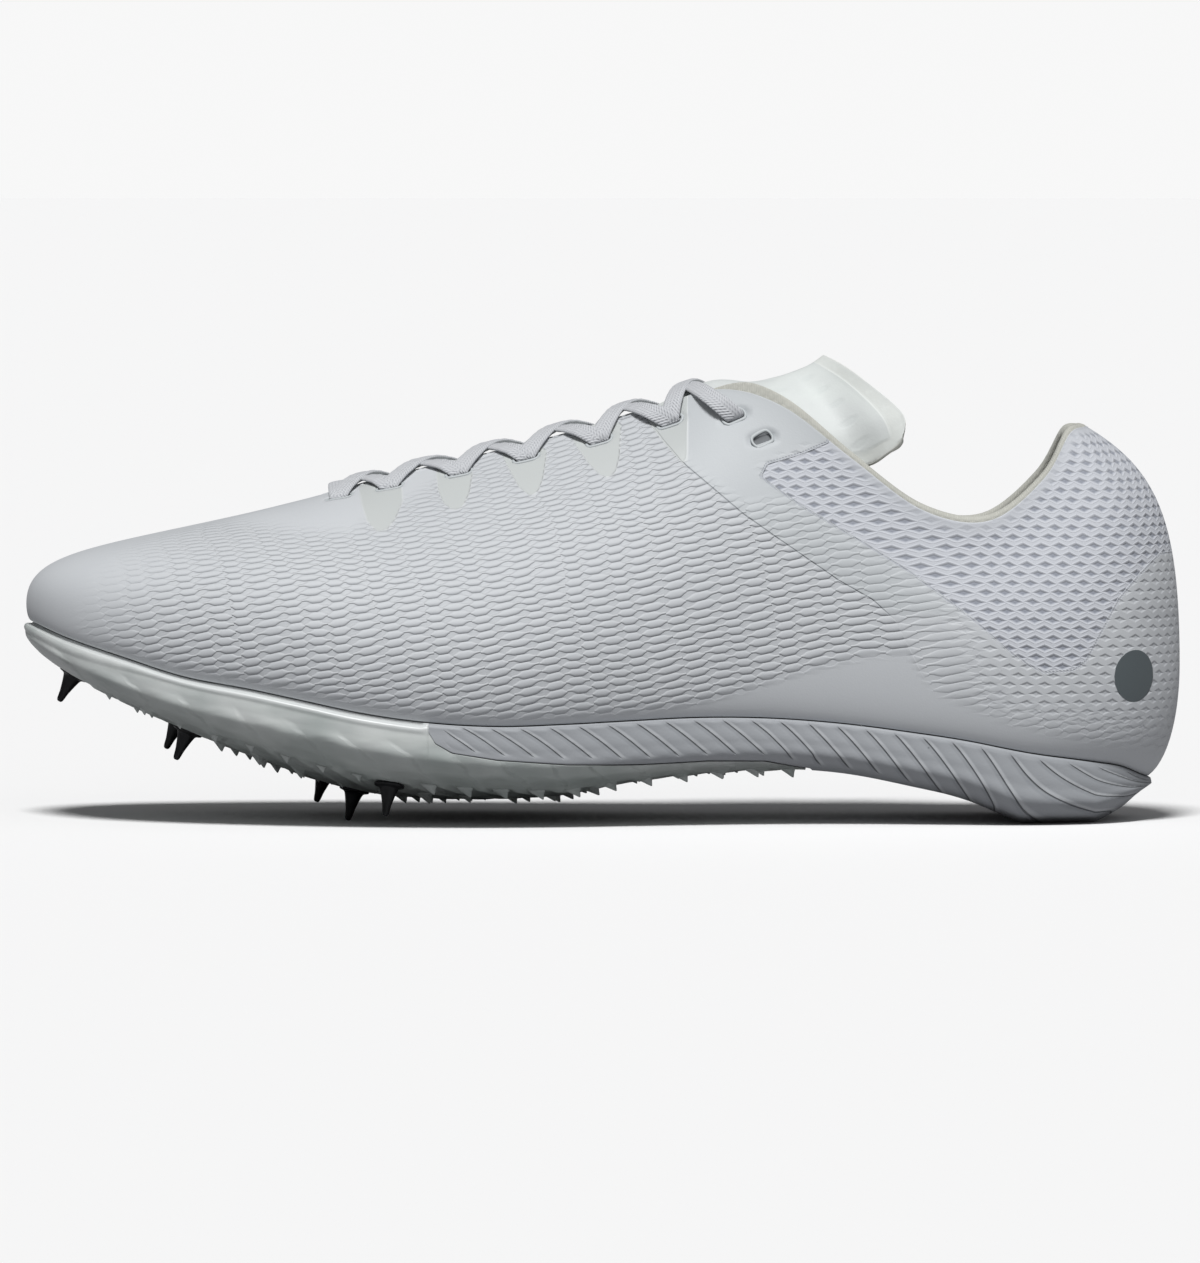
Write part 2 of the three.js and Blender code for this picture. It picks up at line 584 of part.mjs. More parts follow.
function tongueRows() {
  const clear = 0.6;
  const front = [3.2, 2, 1, 0, period - 1, period - 2, period - 3.2]
    .map((u, k) => inside(u, mix(0.915, 0.945, 1 - Math.abs(k - 3) / 3), clear));
  const covered = coveredTongue.map(({ row, edge, crown }) => {
    const sides = [row, mirrorRow(row)].map(u => ({
      edge: inside(u, edge, clear),
      shoulder: inside(u, 0.985, clear),
      slope: Math.tan(THREE.MathUtils.degToRad(around(heights, 'lean', 'lean', u))),
    }));
    const [near, far] = sides;
    const rise = 0.32 * near.slope * near.shoulder.distanceTo(far.shoulder) * 0.5;
    const middle = near.shoulder.clone().lerp(far.shoulder, 0.5).addScaledVector(up, rise);
    if (crown) {
      middle.x = xAt(crown.at);
      middle.z = instepHeight * crown.up;
    }
    const bow = 0.25 * (middle.z - near.shoulder.z);
    const halfway = side => side.shoulder.clone().lerp(middle, 0.5).addScaledVector(up, bow);
    return [near.edge, near.shoulder, halfway(near), middle, halfway(far), far.shoulder, far.edge];
  });
  const place = (p, side) => new THREE.Vector3(
    xAt(p.at), ballWidth * (side * p.side + 0.004), instepHeight * p.up,
  );
  const free = freeTongue.map(row => [
    place(row.edge, -1), place(row.shoulder, -1), place(row.middle, -1), place(row.crown, 1),
    place(row.middle, 1), place(row.shoulder, 1), place(row.edge, 1),
  ]);
  return [front, ...covered, ...free];
}

// A sheet given as rows of points gets its thickness under the rows.
function sheetSolid(rows, thickness) {
  const n = rows.length;
  const m = rows[0].length;
  const at = (i, k) => rows[clamp(i, 0, n - 1)][clamp(k, 0, m - 1)];
  const points = rows.flat().map(p => p.clone());
  for (let i = 0; i < n; i += 1) {
    for (let k = 0; k < m; k += 1) {
      const ahead = at(i + 1, k).clone().sub(at(i - 1, k));
      const across = at(i, k + 1).clone().sub(at(i, k - 1));
      points.push(at(i, k).clone().addScaledVector(ahead.cross(across).normalize(), -thickness));
    }
  }
  const size = n * m;
  const faces = [];
  const quad = (a, b, c, d) => faces.push([a, b, c], [a, c, d]);
  for (let i = 0; i < n - 1; i += 1) {
    for (let k = 0; k < m - 1; k += 1) {
      const a = i * m + k;
      quad(a, a + m, a + m + 1, a + 1);
      quad(size + a, size + a + 1, size + a + m + 1, size + a + m);
    }
    quad(i * m, size + i * m, size + i * m + m, i * m + m);
    quad(i * m + m - 1, i * m + 2 * m - 1, size + i * m + 2 * m - 1, size + i * m + m - 1);
  }
  for (let k = 0; k < m - 1; k += 1) {
    const end = (n - 1) * m + k;
    quad(k, k + 1, size + k + 1, size + k);
    quad(end, size + end, size + end + 1, end + 1);
  }
  return solidFrom(points, faces);
}

function tongueSolid() {
  const steps = Array.from({ length: 11 }, (_, k) => k / 10);
  return sheetSolid(tongueRows().map(row => steps.map(t => blend(row, t))), tongueThickness);
}

// Pins, by share of the length and of the ball width.
const pins = [
  { name: 'pin_toe', at: 0.042, side: 0.07 },
  { name: 'pin_second_inner', at: 0.131, side: 0.20 },
  { name: 'pin_second_outer', at: 0.143, side: -0.12 },
  { name: 'pin_third_inner', at: 0.258, side: 0.27 },
  { name: 'pin_third_middle', at: 0.286, side: -0.07 },
  { name: 'pin_third_outer', at: 0.318, side: -0.36 },
];
const pinRadius = 2.3;
const flangeRadius = 3.7;
const shankRadius = 1.5;
const pinSides = 8;

// A turned part given as radius and height down its own axis.
function turned(steps, sides, foot, axis) {
  const turn = new THREE.Quaternion().setFromUnitVectors(new THREE.Vector3(0, 0, -1), axis);
  const loops = steps.map(([radius, down]) => Array.from({ length: sides }, (_, i) => {
    const angle = (2 * Math.PI * i) / sides;
    return new THREE.Vector3(radius * Math.cos(angle), radius * Math.sin(angle), -down)
      .applyQuaternion(turn).add(foot);
  }));
  return loops;
}

function spindle(steps, sides, foot, axis) {
  const loops = turned(steps, sides, foot, axis);
  const points = loops.flat();
  const n = loops.length;
  const faces = [];
  for (let k = 0; k < n - 1; k += 1) {
    for (let i = 0; i < sides; i += 1) {
      const j = (i + 1) % sides;
      const [a, b, c, d] = [k * sides + i, k * sides + j, (k + 1) * sides + j, (k + 1) * sides + i];
      faces.push([a, c, b], [a, d, c]);
    }
  }
  for (let i = 1; i < sides - 1; i += 1) {
    faces.push([0, i, i + 1]);
    const end = (n - 1) * sides;
    faces.push([end, end + i + 1, end + i]);
  }
  return solidFrom(points, faces);
}

function pinPlace(pin) {
  const x = xAt(pin.at);
  const y = ballWidth * pin.side;
  const z = underside(x, y);
  const dx = (underside(x + 1, y) - underside(x - 1, y)) / 2;
  const dy = (underside(x, y + 1) - underside(x, y - 1)) / 2;
  return { foot: new THREE.Vector3(x, y, z), axis: new THREE.Vector3(dx, dy, -1).normalize() };
}

// All pins are alike, and as long as the one that stands on the floor with the rim of its tip.
const tipRadius = 0.45;
const standing = pinPlace(pins.find(pin => pin.name === 'pin_third_middle'));
const tipDrop = tipRadius * Math.hypot(standing.axis.x, standing.axis.y);
const pinReach = (standing.foot.z - tipDrop) / -standing.axis.z;

function pinSolid(pin) {
  const { foot, axis } = pinPlace(pin);
  return spindle([
    [shankRadius, -1.2],
    [shankRadius, gap + 0.05],
    [flangeRadius, gap + 0.05],
    [flangeRadius, gap + 0.7],
    [pinRadius, gap + 1.2],
    [0.75, pinReach - 0.3],
    [tipRadius, pinReach],
  ], pinSides, foot, axis);
}

function pinWell(pin) {
  const { foot, axis } = pinPlace(pin);
  return spindle([[shankRadius + gap, -1.2 - gap], [shankRadius + gap, 3]], pinSides, foot, axis);
}

// Lace slots in each side of the upper, by share of the length and depth below its edge in shares
// of the depth of the fourth, how high the lace leaves each one, and how far it turns up to the heel
// in radians. The last one stays empty.
const slotDepth = 5.2;
const slots = [
  { at: 0.273, depth: 1.75, arch: 0.05, turn: 0 },
  { at: 0.316, depth: 1.35, arch: 0.05, turn: 0 },
  { at: 0.376, depth: 1.15, arch: 0.06, turn: 0 },
  { at: 0.434, depth: 1.00, arch: 0.07, turn: 0 },
  { at: 0.497, depth: 1.04, arch: 0.10, turn: 0 },
  { at: 0.558, depth: 1.12, arch: 0.14, turn: 0 },
  { at: 0.613, depth: 1.35, arch: 0.20, turn: 0.55 },
  { at: 0.637, depth: 2.10, arch: 0, turn: 0.7 },
];
const slotLength = 5.6;
const slotWidth = 2.2;
const laceWidth = 4.8;
const laceThickness = 1.0;
const laceLead = 0.34;

function slotPlace(slot, side) {
  const x = xAt(slot.at);
  const placed = walk => {
    const u = side < 0 ? walk : mirrorRow(walk);
    const pace = skin(u, 1).distanceTo(skin(u, 0.97)) / 0.03;
    return { u, t: 1 - (slotDepth * slot.depth) / pace };
  };
  let low = 1;
  let high = 13;
  for (let k = 0; k < 20; k += 1) {
    const middle = (low + high) / 2;
    const { u, t } = placed(middle);
    if (skin(u, t).x < x) low = middle;
    else high = middle;
  }
  const { u, t } = placed(low);
  const normal = skinNormal(u, t);
  const run = skin(u + 0.05, t).sub(skin(u - 0.05, t)).multiplyScalar(-side).normalize()
    .applyAxisAngle(normal, -side * slot.turn);
  const across = normal.clone().cross(run);
  return { centre: skin(u, t), normal, run, across, arch: slot.arch };
}

function slotSolid({ centre, normal, run, across }) {
  const a = slotLength / 2;
  const b = slotWidth / 2;
  const shape = [[a, b], [-a, b], [-a, -b], [a, -b]];
  const loops = [-4, 3].map(h => shape.map(([r, w]) => centre.clone()
    .addScaledVector(run, r).addScaledVector(across, w).addScaledVector(normal, h)));
  const n = shape.length;
  const faces = [];
  for (let i = 0; i < n; i += 1) {
    const j = (i + 1) % n;
    faces.push([i, j, n + j], [i, n + j, n + i]);
  }
  for (let i = 1; i < n - 1; i += 1) faces.push([0, i + 1, i], [n, n + i, n + i + 1]);
  return solidFrom(loops.flat(), faces);
}

// A flat band from slot to slot: it leaves each one along the upper and arches over the throat.
function laceBand(from, to) {
  const lift = gap + 0.15 + laceThickness / 2;
  const start = from.centre.clone().addScaledVector(from.normal, lift);
  const end = to.centre.clone().addScaledVector(to.normal, lift);
  const chord = end.clone().sub(start);
  const span = chord.length();
  const lead = (slot, turn) => chord.clone().addScaledVector(slot.normal, -chord.dot(slot.normal))
    .setLength(laceLead * turn * span).addScaledVector(slot.normal, slot.arch * span);
  const curve = [start, start.clone().add(lead(from, 1)), end.clone().add(lead(to, -1)), end];
  const stations = 5;
  const loops = [];
  for (let k = 0; k <= stations; k += 1) {
    const w = k / stations;
    const here = bezier(curve, w);
    const along = bezier(curve, Math.min(1, w + 0.01)).sub(bezier(curve, Math.max(0, w - 0.01)));
    const across = along.clone().cross(from.normal.clone().lerp(to.normal, w)).normalize();
    const normal = across.clone().cross(along).normalize();
    loops.push([[-1, -1], [1, -1], [1, 1], [-1, 1]].map(([p, q]) => here.clone()
      .addScaledVector(across, (p * laceWidth) / 2).addScaledVector(normal, (q * laceThickness) / 2)));
  }
  const faces = [[0, 2, 1], [0, 3, 2]];
  for (let k = 0; k < stations; k += 1) {
    for (let i = 0; i < 4; i += 1) {
      const j = (i + 1) % 4;
      faces.push([4 * k + i, 4 * k + j, 4 * k + 4 + j], [4 * k + i, 4 * k + 4 + j, 4 * k + 4 + i]);
    }
  }
  const tail = 4 * stations;
  faces.push([tail, tail + 1, tail + 2], [tail, tail + 2, tail + 3]);
  const solid = solidFrom(loops.flat(), faces);
  return solid.volume() > 0 ? solid : solidFrom(loops.flat(), faces.map(([a, b, c]) => [a, c, b]));
}

function laceSolid(outer, inner) {
  const used = slots.length - 1;
  let lace = laceBand(outer[0], inner[0]);
  for (let k = 0; k < used - 1; k += 1) {
    lace = lace.add(laceBand(outer[k], inner[k + 1])).add(laceBand(inner[k], outer[k + 1]));
  }
  return lace;
}

function toMesh(name, solid, look) {
  const mesh = solid.getMesh();
  const geometry = new THREE.BufferGeometry();
  const flat = new Float32Array(mesh.numVert * 3);
  for (let i = 0; i < mesh.numVert; i += 1) {
    for (let k = 0; k < 3; k += 1) flat[3 * i + k] = mesh.vertProperties[i * mesh.numProp + k];
  }
  geometry.setAttribute('position', new THREE.BufferAttribute(flat, 3));
  geometry.setIndex(new THREE.BufferAttribute(new Uint32Array(mesh.triVerts), 1));
  const made = new THREE.Mesh(geometry, new THREE.MeshStandardMaterial(look));
  made.name = name;
  return made;
}

const looks = {
  upper: { color: 0xd4d7da, roughness: 0.7, metalness: 0 },
  insole: { color: 0xd9d9d2, roughness: 0.8, metalness: 0 },
  midsole: { color: 0xd6d9da, roughness: 0.6, metalness: 0 },
  plate: { color: 0xa9b2ae, roughness: 0.35, metalness: 0 },
  tongue: { color: 0xd7dbd8, roughness: 0.6, metalness: 0 },
  lace: { color: 0xdcdedf, roughness: 0.8, metalness: 0 },
  pin: { color: 0x17181a, roughness: 0.4, metalness: 0 },
};

const shoe = new THREE.Group();
const { midsole, plate } = soleSolids();
const outerSlots = slots.map(slot => slotPlace(slot, -1));
const innerSlots = slots.map(slot => slotPlace(slot, 1));
const cuts = [...outerSlots, ...innerSlots].map(slotSolid).reduce((all, one) => all.add(one));
shoe.add(toMesh('upper', upperSolid().subtract(cuts), looks.upper));
shoe.add(toMesh('insole', insoleSolid(), looks.insole));
shoe.add(toMesh('midsole', midsole, looks.midsole));
const wells = pins.map(pinWell).reduce((all, one) => all.add(one));
shoe.add(toMesh('spike_plate', plate.subtract(wells), looks.plate));
shoe.add(toMesh('tongue', tongueSolid(), looks.tongue));
shoe.add(toMesh('lace', laceSolid(outerSlots, innerSlots), looks.lace));
for (const pin of pins) shoe.add(toMesh(pin.name, pinSolid(pin), looks.pin));

export default shoe;
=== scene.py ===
# A left track spike on a pale floor, toe to the left, seen from its outer side.
# Every shape is worked out in millimetres with numpy and put into the meshes in metres.

import math
import bmesh
import bpy
import numpy as np
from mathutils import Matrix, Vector


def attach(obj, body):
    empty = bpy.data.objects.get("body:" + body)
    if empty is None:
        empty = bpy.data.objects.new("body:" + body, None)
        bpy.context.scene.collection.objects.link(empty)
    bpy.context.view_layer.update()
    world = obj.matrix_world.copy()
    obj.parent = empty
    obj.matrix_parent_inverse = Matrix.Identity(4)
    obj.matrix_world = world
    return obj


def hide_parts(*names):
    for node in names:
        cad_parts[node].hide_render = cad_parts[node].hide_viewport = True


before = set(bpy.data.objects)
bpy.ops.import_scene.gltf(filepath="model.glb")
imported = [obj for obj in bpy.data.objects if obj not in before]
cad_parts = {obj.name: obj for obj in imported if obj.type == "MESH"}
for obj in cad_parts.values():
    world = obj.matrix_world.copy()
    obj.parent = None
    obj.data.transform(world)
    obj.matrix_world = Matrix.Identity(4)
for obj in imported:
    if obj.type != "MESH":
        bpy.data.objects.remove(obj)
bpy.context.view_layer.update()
print("frame loaded")

camera = {
    "elevation": 2.5,       # degrees above the floor
    "lens": 300,            # long lens, so the view is nearly parallel
    "sensor": 36,
    "pixel": 0.2424,        # millimetres to a pixel of the picture
    "pictureRows": 1263,
    "aim": (-110.9, 0.0, 45.5),
    "originColumn": 1057.6,  # picture column of the origin, which is under the heel
    "floorRow": 820.5,
    "nearShift": 8,         # the floor row is the one of the floor this far in front of the origin
}


def makeCamera():
    data = bpy.data.cameras.new("camera")
    data.lens = camera["lens"]
    data.sensor_width = camera["sensor"]
    high = camera["pictureRows"] * camera["pixel"] / 1000
    reach = high * camera["lens"] / camera["sensor"]
    tilt = math.radians(camera["elevation"])
    back = Vector((0, -math.cos(tilt), math.sin(tilt)))
    thing = bpy.data.objects.new("camera", data)
    thing.location = Vector(camera["aim"]) / 1000 + back * reach
    thing.rotation_mode = "QUATERNION"
    thing.rotation_quaternion = (-back).to_track_quat("-Z", "Y")
    data.clip_end = 200
    bpy.context.scene.collection.objects.link(thing)
    bpy.context.scene.camera = thing


makeCamera()


def smooth(low, high, value):
    # 0 below low, 1 above high, an S curve between
    t = np.clip((value - low) / (high - low), 0, 1)
    return t * t * (3 - 2 * t)


def bump(value, middle, half):
    # a round hill of height 1 over middle, gone at middle - half and middle + half
    return np.clip(1 - ((value - middle) / half) ** 2, 0, 1) ** 2


def hermite(places, values, at):
    # cubic through the points, its slope at each the mean of both sides weighted by the other's length
    places, values = np.asarray(places, float), np.asarray(values, float)
    v = np.clip(at, places[0], places[-1])
    gaps = np.diff(places)
    rise = np.diff(values) / gaps
    slope = np.empty(len(places))
    slope[0], slope[-1] = rise[0], rise[-1]
    slope[1:-1] = (rise[:-1] * gaps[1:] + rise[1:] * gaps[:-1]) / (gaps[:-1] + gaps[1:])
    i = np.clip(np.searchsorted(places, v, side="left") - 1, 0, len(places) - 2)
    t = (v - places[i]) / gaps[i]
    return (values[i] * (1 + 2 * t) * (1 - t) ** 2 + slope[i] * gaps[i] * t * (1 - t) ** 2
            + values[i + 1] * t * t * (3 - 2 * t) + slope[i + 1] * gaps[i] * t * t * (t - 1))


def catmull(a, b, c, d, t):
    return b + 0.5 * t * (c - a + t * (2 * a - 5 * b + 4 * c - d + t * (3 * (b - c) + d - a)))


def lengthAlong(path):
    # length from the start of a path to each of its points
    return np.cumsum(np.r_[0, np.linalg.norm(np.diff(path, axis=0), axis=1)])


def unit(v):
    return v / np.maximum(np.linalg.norm(v, axis=-1, keepdims=True), 1e-9)


def bezier(p, t):
    s = 1 - t
    return p[0] * s ** 3 + 3 * p[1] * s * s * t + 3 * p[2] * s * t * t + p[3] * t ** 3


shoe = {
    "length": 280, "ballWidth": 87, "instepHeight": 104, "heelHeight": 95, "stack": 26,
    "heelRest": 0.894, "wall": 1.5, "collarPad": 2.2, "gap": 0.3, "lowestLine": 0.08,
    "waistShare": 0.2, "padWalk": (0.59, 0.71), "padRise": (0.55, 0.95),
}

# seat line: at, outer, inner, out, waist, then the edge: rimAt, rimOuter, rimInner, then heights of the
# edge outer and inner, and lean, brow, reach
lastRows = np.array([
    [0.003, 0.092, 0.092, 0.010, 0.15, 0.2535, 0.023, 0.023, 0.752, 0.752, 14, 0.54, 0.69],
    [0.016, -0.063, 0.224, 0.012, 0.17, 0.2550, 0.006, 0.040, 0.753, 0.753, 14, 0.54, 0.69],
    [0.046, -0.201, 0.322, 0.015, 0.21, 0.2590, -0.010, 0.056, 0.757, 0.757, 14, 0.53, 0.68],
    [0.089, -0.305, 0.385, 0.021, 0.26, 0.2670, -0.023, 0.069, 0.763, 0.763, 15, 0.51, 0.66],
    [0.143, -0.385, 0.431, 0.025, 0.31, 0.2800, -0.032, 0.078, 0.772, 0.772, 16, 0.48, 0.61],
    [0.204, -0.443, 0.460, 0.030, 0.35, 0.2980, -0.037, 0.083, 0.786, 0.786, 18, 0.45, 0.55],
    [0.268, -0.483, 0.477, 0.033, 0.39, 0.3230, -0.041, 0.086, 0.803, 0.803, 21, 0.42, 0.49],
    [0.336, -0.500, 0.471, 0.034, 0.43, 0.3640, -0.047, 0.089, 0.829, 0.829, 25, 0.40, 0.43],
    [0.404, -0.494, 0.443, 0.034, 0.47, 0.4170, -0.057, 0.092, 0.862, 0.862, 30, 0.40, 0.38],
    [0.471, -0.460, 0.391, 0.034, 0.51, 0.4770, -0.069, 0.096, 0.904, 0.904, 36, 0.41, 0.34],
    [0.539, -0.408, 0.333, 0.034, 0.55, 0.5410, -0.092, 0.107, 0.957, 0.957, 44, 0.43, 0.32],
    [0.604, -0.362, 0.299, 0.034, 0.59, 0.6000, -0.138, 0.144, 1.003, 0.998, 56, 0.45, 0.30],
    [0.664, -0.333, 0.287, 0.034, 0.63, 0.6550, -0.207, 0.205, 0.967, 0.957, 70, 0.46, 0.30],
    [0.725, -0.322, 0.293, 0.034, 0.67, 0.7140, -0.259, 0.253, 0.863, 0.850, 79, 0.46, 0.30],
    [0.786, -0.328, 0.310, 0.036, 0.71, 0.7750, -0.287, 0.282, 0.763, 0.748, 83, 0.46, 0.30],
    [0.843, -0.328, 0.316, 0.042, 0.76, 0.8320, -0.287, 0.282, 0.757, 0.745, 81, 0.48, 0.29],
    [0.896, -0.293, 0.287, 0.055, 0.83, 0.8790, -0.230, 0.230, 0.870, 0.865, 72, 0.52, 0.27],
    [0.939, -0.213, 0.213, 0.071, 0.90, 0.9020, -0.153, 0.153, 0.983, 0.983, 50, 0.57, 0.29],
    [0.964, -0.109, 0.109, 0.081, 0.97, 0.9150, -0.077, 0.077, 1.001, 1.001, 38, 0.60, 0.31],
    [0.973, 0.000, 0.000, 0.086, 1.02, 0.9200, 0.000, 0.000, 1.000, 1.000, 31, 0.61, 0.32],
])

# side profile of the sole: at, seat, tread, crown, lip, tuck
profileRows = np.array([
    [-0.02, 1.90, 1.72, 0.03, 0.010, 0.020], [0.00, 1.86, 1.62, 0.03, 0.010, 0.022],
    [0.04, 1.72, 1.37, 0.05, 0.012, 0.030], [0.09, 1.56, 1.10, 0.07, 0.014, 0.040],
    [0.14, 1.40, 0.85, 0.10, 0.015, 0.045], [0.20, 1.285, 0.59, 0.13, 0.016, 0.050],
    [0.25, 1.175, 0.39, 0.15, 0.016, 0.055], [0.29, 1.085, 0.275, 0.15, 0.016, 0.060],
    [0.34, 1.005, 0.22, 0.13, 0.016, 0.065], [0.41, 0.955, 0.21, 0.10, 0.016, 0.070],
    [0.47, 0.970, 0.26, 0.07, 0.016, 0.070], [0.52, 0.993, 0.38, 0.04, 0.016, 0.070],
    [0.58, 1.018, 0.47, 0.02, 0.016, 0.070], [0.64, 1.008, 0.51, 0.01, 0.016, 0.075],
    [0.70, 0.960, 0.48, 0.00, 0.016, 0.085], [0.76, 0.880, 0.36, 0.00, 0.016, 0.100],
    [0.82, 0.780, 0.19, 0.00, 0.015, 0.120], [0.845, 0.724, 0.07, 0.00, 0.014, 0.130],
    [0.861, 0.690, 0.00, 0.00, 0.013, 0.130], [0.923, 0.585, 0.00, 0.00, 0.012, 0.115],
    [0.945, 0.54, 0.11, 0.00, 0.009, 0.080], [0.973, 0.41, 0.30, 0.00, 0.006, 0.040],
    [1.00, 0.36, 0.33, 0.00, 0.004, 0.020],
])
lastRow = len(lastRows) - 1
period = 2 * lastRow


def around(outer, inner, u):
    # cubic through a column of the last that runs back along the outer side and home along the inner
    ring = np.concatenate([lastRows[:, outer], lastRows[-2:0:-1, inner]])
    u = np.asarray(u, float)
    i = np.floor(u).astype(int)
    a, b, c, d = (ring[(i + k) % period] for k in (-1, 0, 1, 2))
    return catmull(a, b, c, d, u - i)


def xAt(share):
    return (share - shoe["heelRest"]) * shoe["length"]


def shareAt(x):
    return x / shoe["length"] + shoe["heelRest"]


def soleColumn(column, x):
    return hermite(profileRows[:, 0], profileRows[:, column], shareAt(x))


def seatAt(x):
    return shoe["stack"] * soleColumn(1, x)


def underside(x, y):
    # tread line, lifted by the square of the distance from the lowest line
    off = y / (0.4 * shoe["ballWidth"]) - shoe["lowestLine"] / 0.4
    lift = np.maximum(0, shoe["stack"] * soleColumn(3, x))
    return np.maximum(0, shoe["stack"] * soleColumn(2, x)) + lift * off ** 2


def seatLine(u):
    # plan of the seat, and the level way out of it, square to the line
    step = 0.02
    x, y = xAt(around(0, 0, u)), shoe["ballWidth"] * around(1, 2, u)
    dx = shoe["length"] * (around(0, 0, u + step) - around(0, 0, u - step))
    dy = shoe["ballWidth"] * (around(1, 2, u + step) - around(1, 2, u - step))
    size = np.hypot(dx, dy)
    return x, y, dy / size, -dx / size


def rimPoint(u):
    share = around(5, 5, u)
    top = shoe["instepHeight"] + (shoe["heelHeight"] - shoe["instepHeight"]) * smooth(0.62, 0.90, share)
    return np.stack([xAt(share), shoe["ballWidth"] * around(6, 7, u), top * around(8, 9, u)], -1)


def skin(u, t):
    # outside of the upper: one cubic from the seat to the widest place, one from there to the edge
    u, t = np.broadcast_arrays(np.asarray(u, float), np.asarray(t, float))
    x, y, ox, oy = seatLine(u)
    out, up = np.stack([ox, oy, 0 * ox], -1), np.array([0, 0, 1.0])
    seat = np.stack([x, y, seatAt(x)], -1)
    bulge = (shoe["ballWidth"] * around(3, 3, u))[..., None]
    rise = (shoe["stack"] * around(4, 4, u))[..., None]
    waist = seat + bulge * out + rise * up
    low = bezier([seat, seat + 0.7 * bulge * out + 0.15 * rise * up, waist - 0.4 * rise * up, waist],
                 np.clip(t / shoe["waistShare"], 0, 1)[..., None])
    rim = rimPoint(u)
    away = unit((seat - rim) * np.array([1, 1, 0]))
    lean = np.radians(around(10, 10, u))[..., None]
    reach = around(12, 12, u)[..., None] * np.linalg.norm(waist - rim, axis=-1, keepdims=True)
    brow = waist + up * around(11, 11, u)[..., None] * (rim - waist)[..., 2:]
    crest = rim + away * reach * np.cos(lean) - up * reach * np.sin(lean)
    high = bezier([waist, brow, crest, rim],
                  np.clip((t - shoe["waistShare"]) / (1 - shoe["waistShare"]), 0, 1)[..., None])
    return np.where((t <= shoe["waistShare"])[..., None], low, high)


def skinNormal(u, t):
    u, t = np.broadcast_arrays(np.asarray(u, float), np.asarray(t, float))
    ahead = skin(u + 0.03, t) - skin(u - 0.03, t)
    rise = skin(u, np.minimum(1, t + 0.01)) - skin(u, np.maximum(0, t - 0.01))
    return unit(np.cross(ahead, rise))


def walkOf(u):
    # how far round from the toe, the same on both sides
    u = np.asarray(u) % period
    return np.minimum(u, period - u)


def wallAt(u, t):
    # the wall of the upper, with a pad that grows towards the heel and up to the collar
    start, full = (share * lastRow for share in shoe["padWalk"])
    return shoe["wall"] + shoe["collarPad"] * smooth(start, full, walkOf(u)) * smooth(*shoe["padRise"], t)


def picture(p):
    # picture column and row of a point, with the inner side mirrored on to the outer one
    tilt = math.radians(camera["elevation"])
    side = -np.abs(p[..., 1])
    column = camera["originColumn"] + p[..., 0] / camera["pixel"]
    rise = p[..., 2] * math.cos(tilt) + (side + camera["nearShift"]) * math.sin(tilt)
    row = camera["floorRow"] - rise / camera["pixel"]
    return column, row


def polygonField(column, row, corners):
    # distance in millimetres to the edge of a shape drawn in the picture, positive inside it
    best = np.full(column.shape, 1e9)
    inside = np.zeros(column.shape, bool)
    for (ax, ay), (bx, by) in zip(corners, corners[1:] + corners[:1]):
        ex, ey = bx - ax, by - ay
        t = np.clip(((column - ax) * ex + (row - ay) * ey) / (ex * ex + ey * ey), 0, 1)
        best = np.minimum(best, np.hypot(column - ax - t * ex, row - ay - t * ey))
        if ay != by:
            inside ^= ((ay > row) != (by > row)) & (column < ex * (row - ay) / ey + ax)
    return np.where(inside, best, -best) * camera["pixel"]


def gridFaces(rows, columns, wrapRows=False, wrapColumns=False):
    # quads of a grid of points, rows first
    i = np.arange(rows if wrapRows else rows - 1)[:, None]
    k = np.arange(columns if wrapColumns else columns - 1)[None, :]
    a, b = i * columns + k, i * columns + (k + 1) % columns
    c, d = ((i + 1) % rows) * columns + (k + 1) % columns, ((i + 1) % rows) * columns + k
    return np.stack([a, b, c, d], -1).reshape(-1, 4)


def repeated(faces, count, points):
    # the same faces for each of several parts, whose points follow one another
    return (faces[None] + np.arange(count)[:, None, None] * points).reshape(-1, 4)


def makePiece(name, points, faces, material, replaced=(), fields=None, weld=True, caps=()):
    mesh = bpy.data.meshes.new(name)
    points = np.asarray(points, float).reshape(-1, 3) / 1000
    faces = np.asarray(faces, np.int32)
    mesh.vertices.add(len(points))
    mesh.vertices.foreach_set("co", points.ravel())
    mesh.loops.add(faces.size)
    mesh.loops.foreach_set("vertex_index", faces.ravel())
    mesh.polygons.add(len(faces))
    mesh.polygons.foreach_set("loop_start", np.arange(len(faces), dtype=np.int32) * faces.shape[1])
    mesh.polygons.foreach_set("loop_total", np.full(len(faces), faces.shape[1], np.int32))
    mesh.polygons.foreach_set("use_smooth", np.ones(len(faces), bool))
    for key, values in (fields or {}).items():
        values = np.asarray(values, np.float32)
        isVector = values.ndim > 1 and values.shape[-1] == 3
        kind, part = ("FLOAT_VECTOR", "vector") if isVector else ("FLOAT", "value")
        mesh.attributes.new(key, kind, "POINT").data.foreach_set(part, values.ravel())
    mesh.update(calc_edges=True)
    if weld:
        work = bmesh.new()
        work.from_mesh(mesh)
        work.verts.ensure_lookup_table()
        for cap in caps:
            work.faces.new([work.verts[k] for k in cap])
        bmesh.ops.remove_doubles(work, verts=work.verts, dist=3e-6)
        bmesh.ops.recalc_face_normals(work, faces=work.faces)
        work.to_mesh(mesh)
        work.free()
    mesh.validate()
    mesh.materials.append(material)
    thing = bpy.data.objects.new(name, mesh)
    bpy.context.scene.collection.objects.link(thing)
    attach(thing, "root")
    if replaced:
        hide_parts(*replaced)
    print(name, len(mesh.polygons), "faces")
    return thing


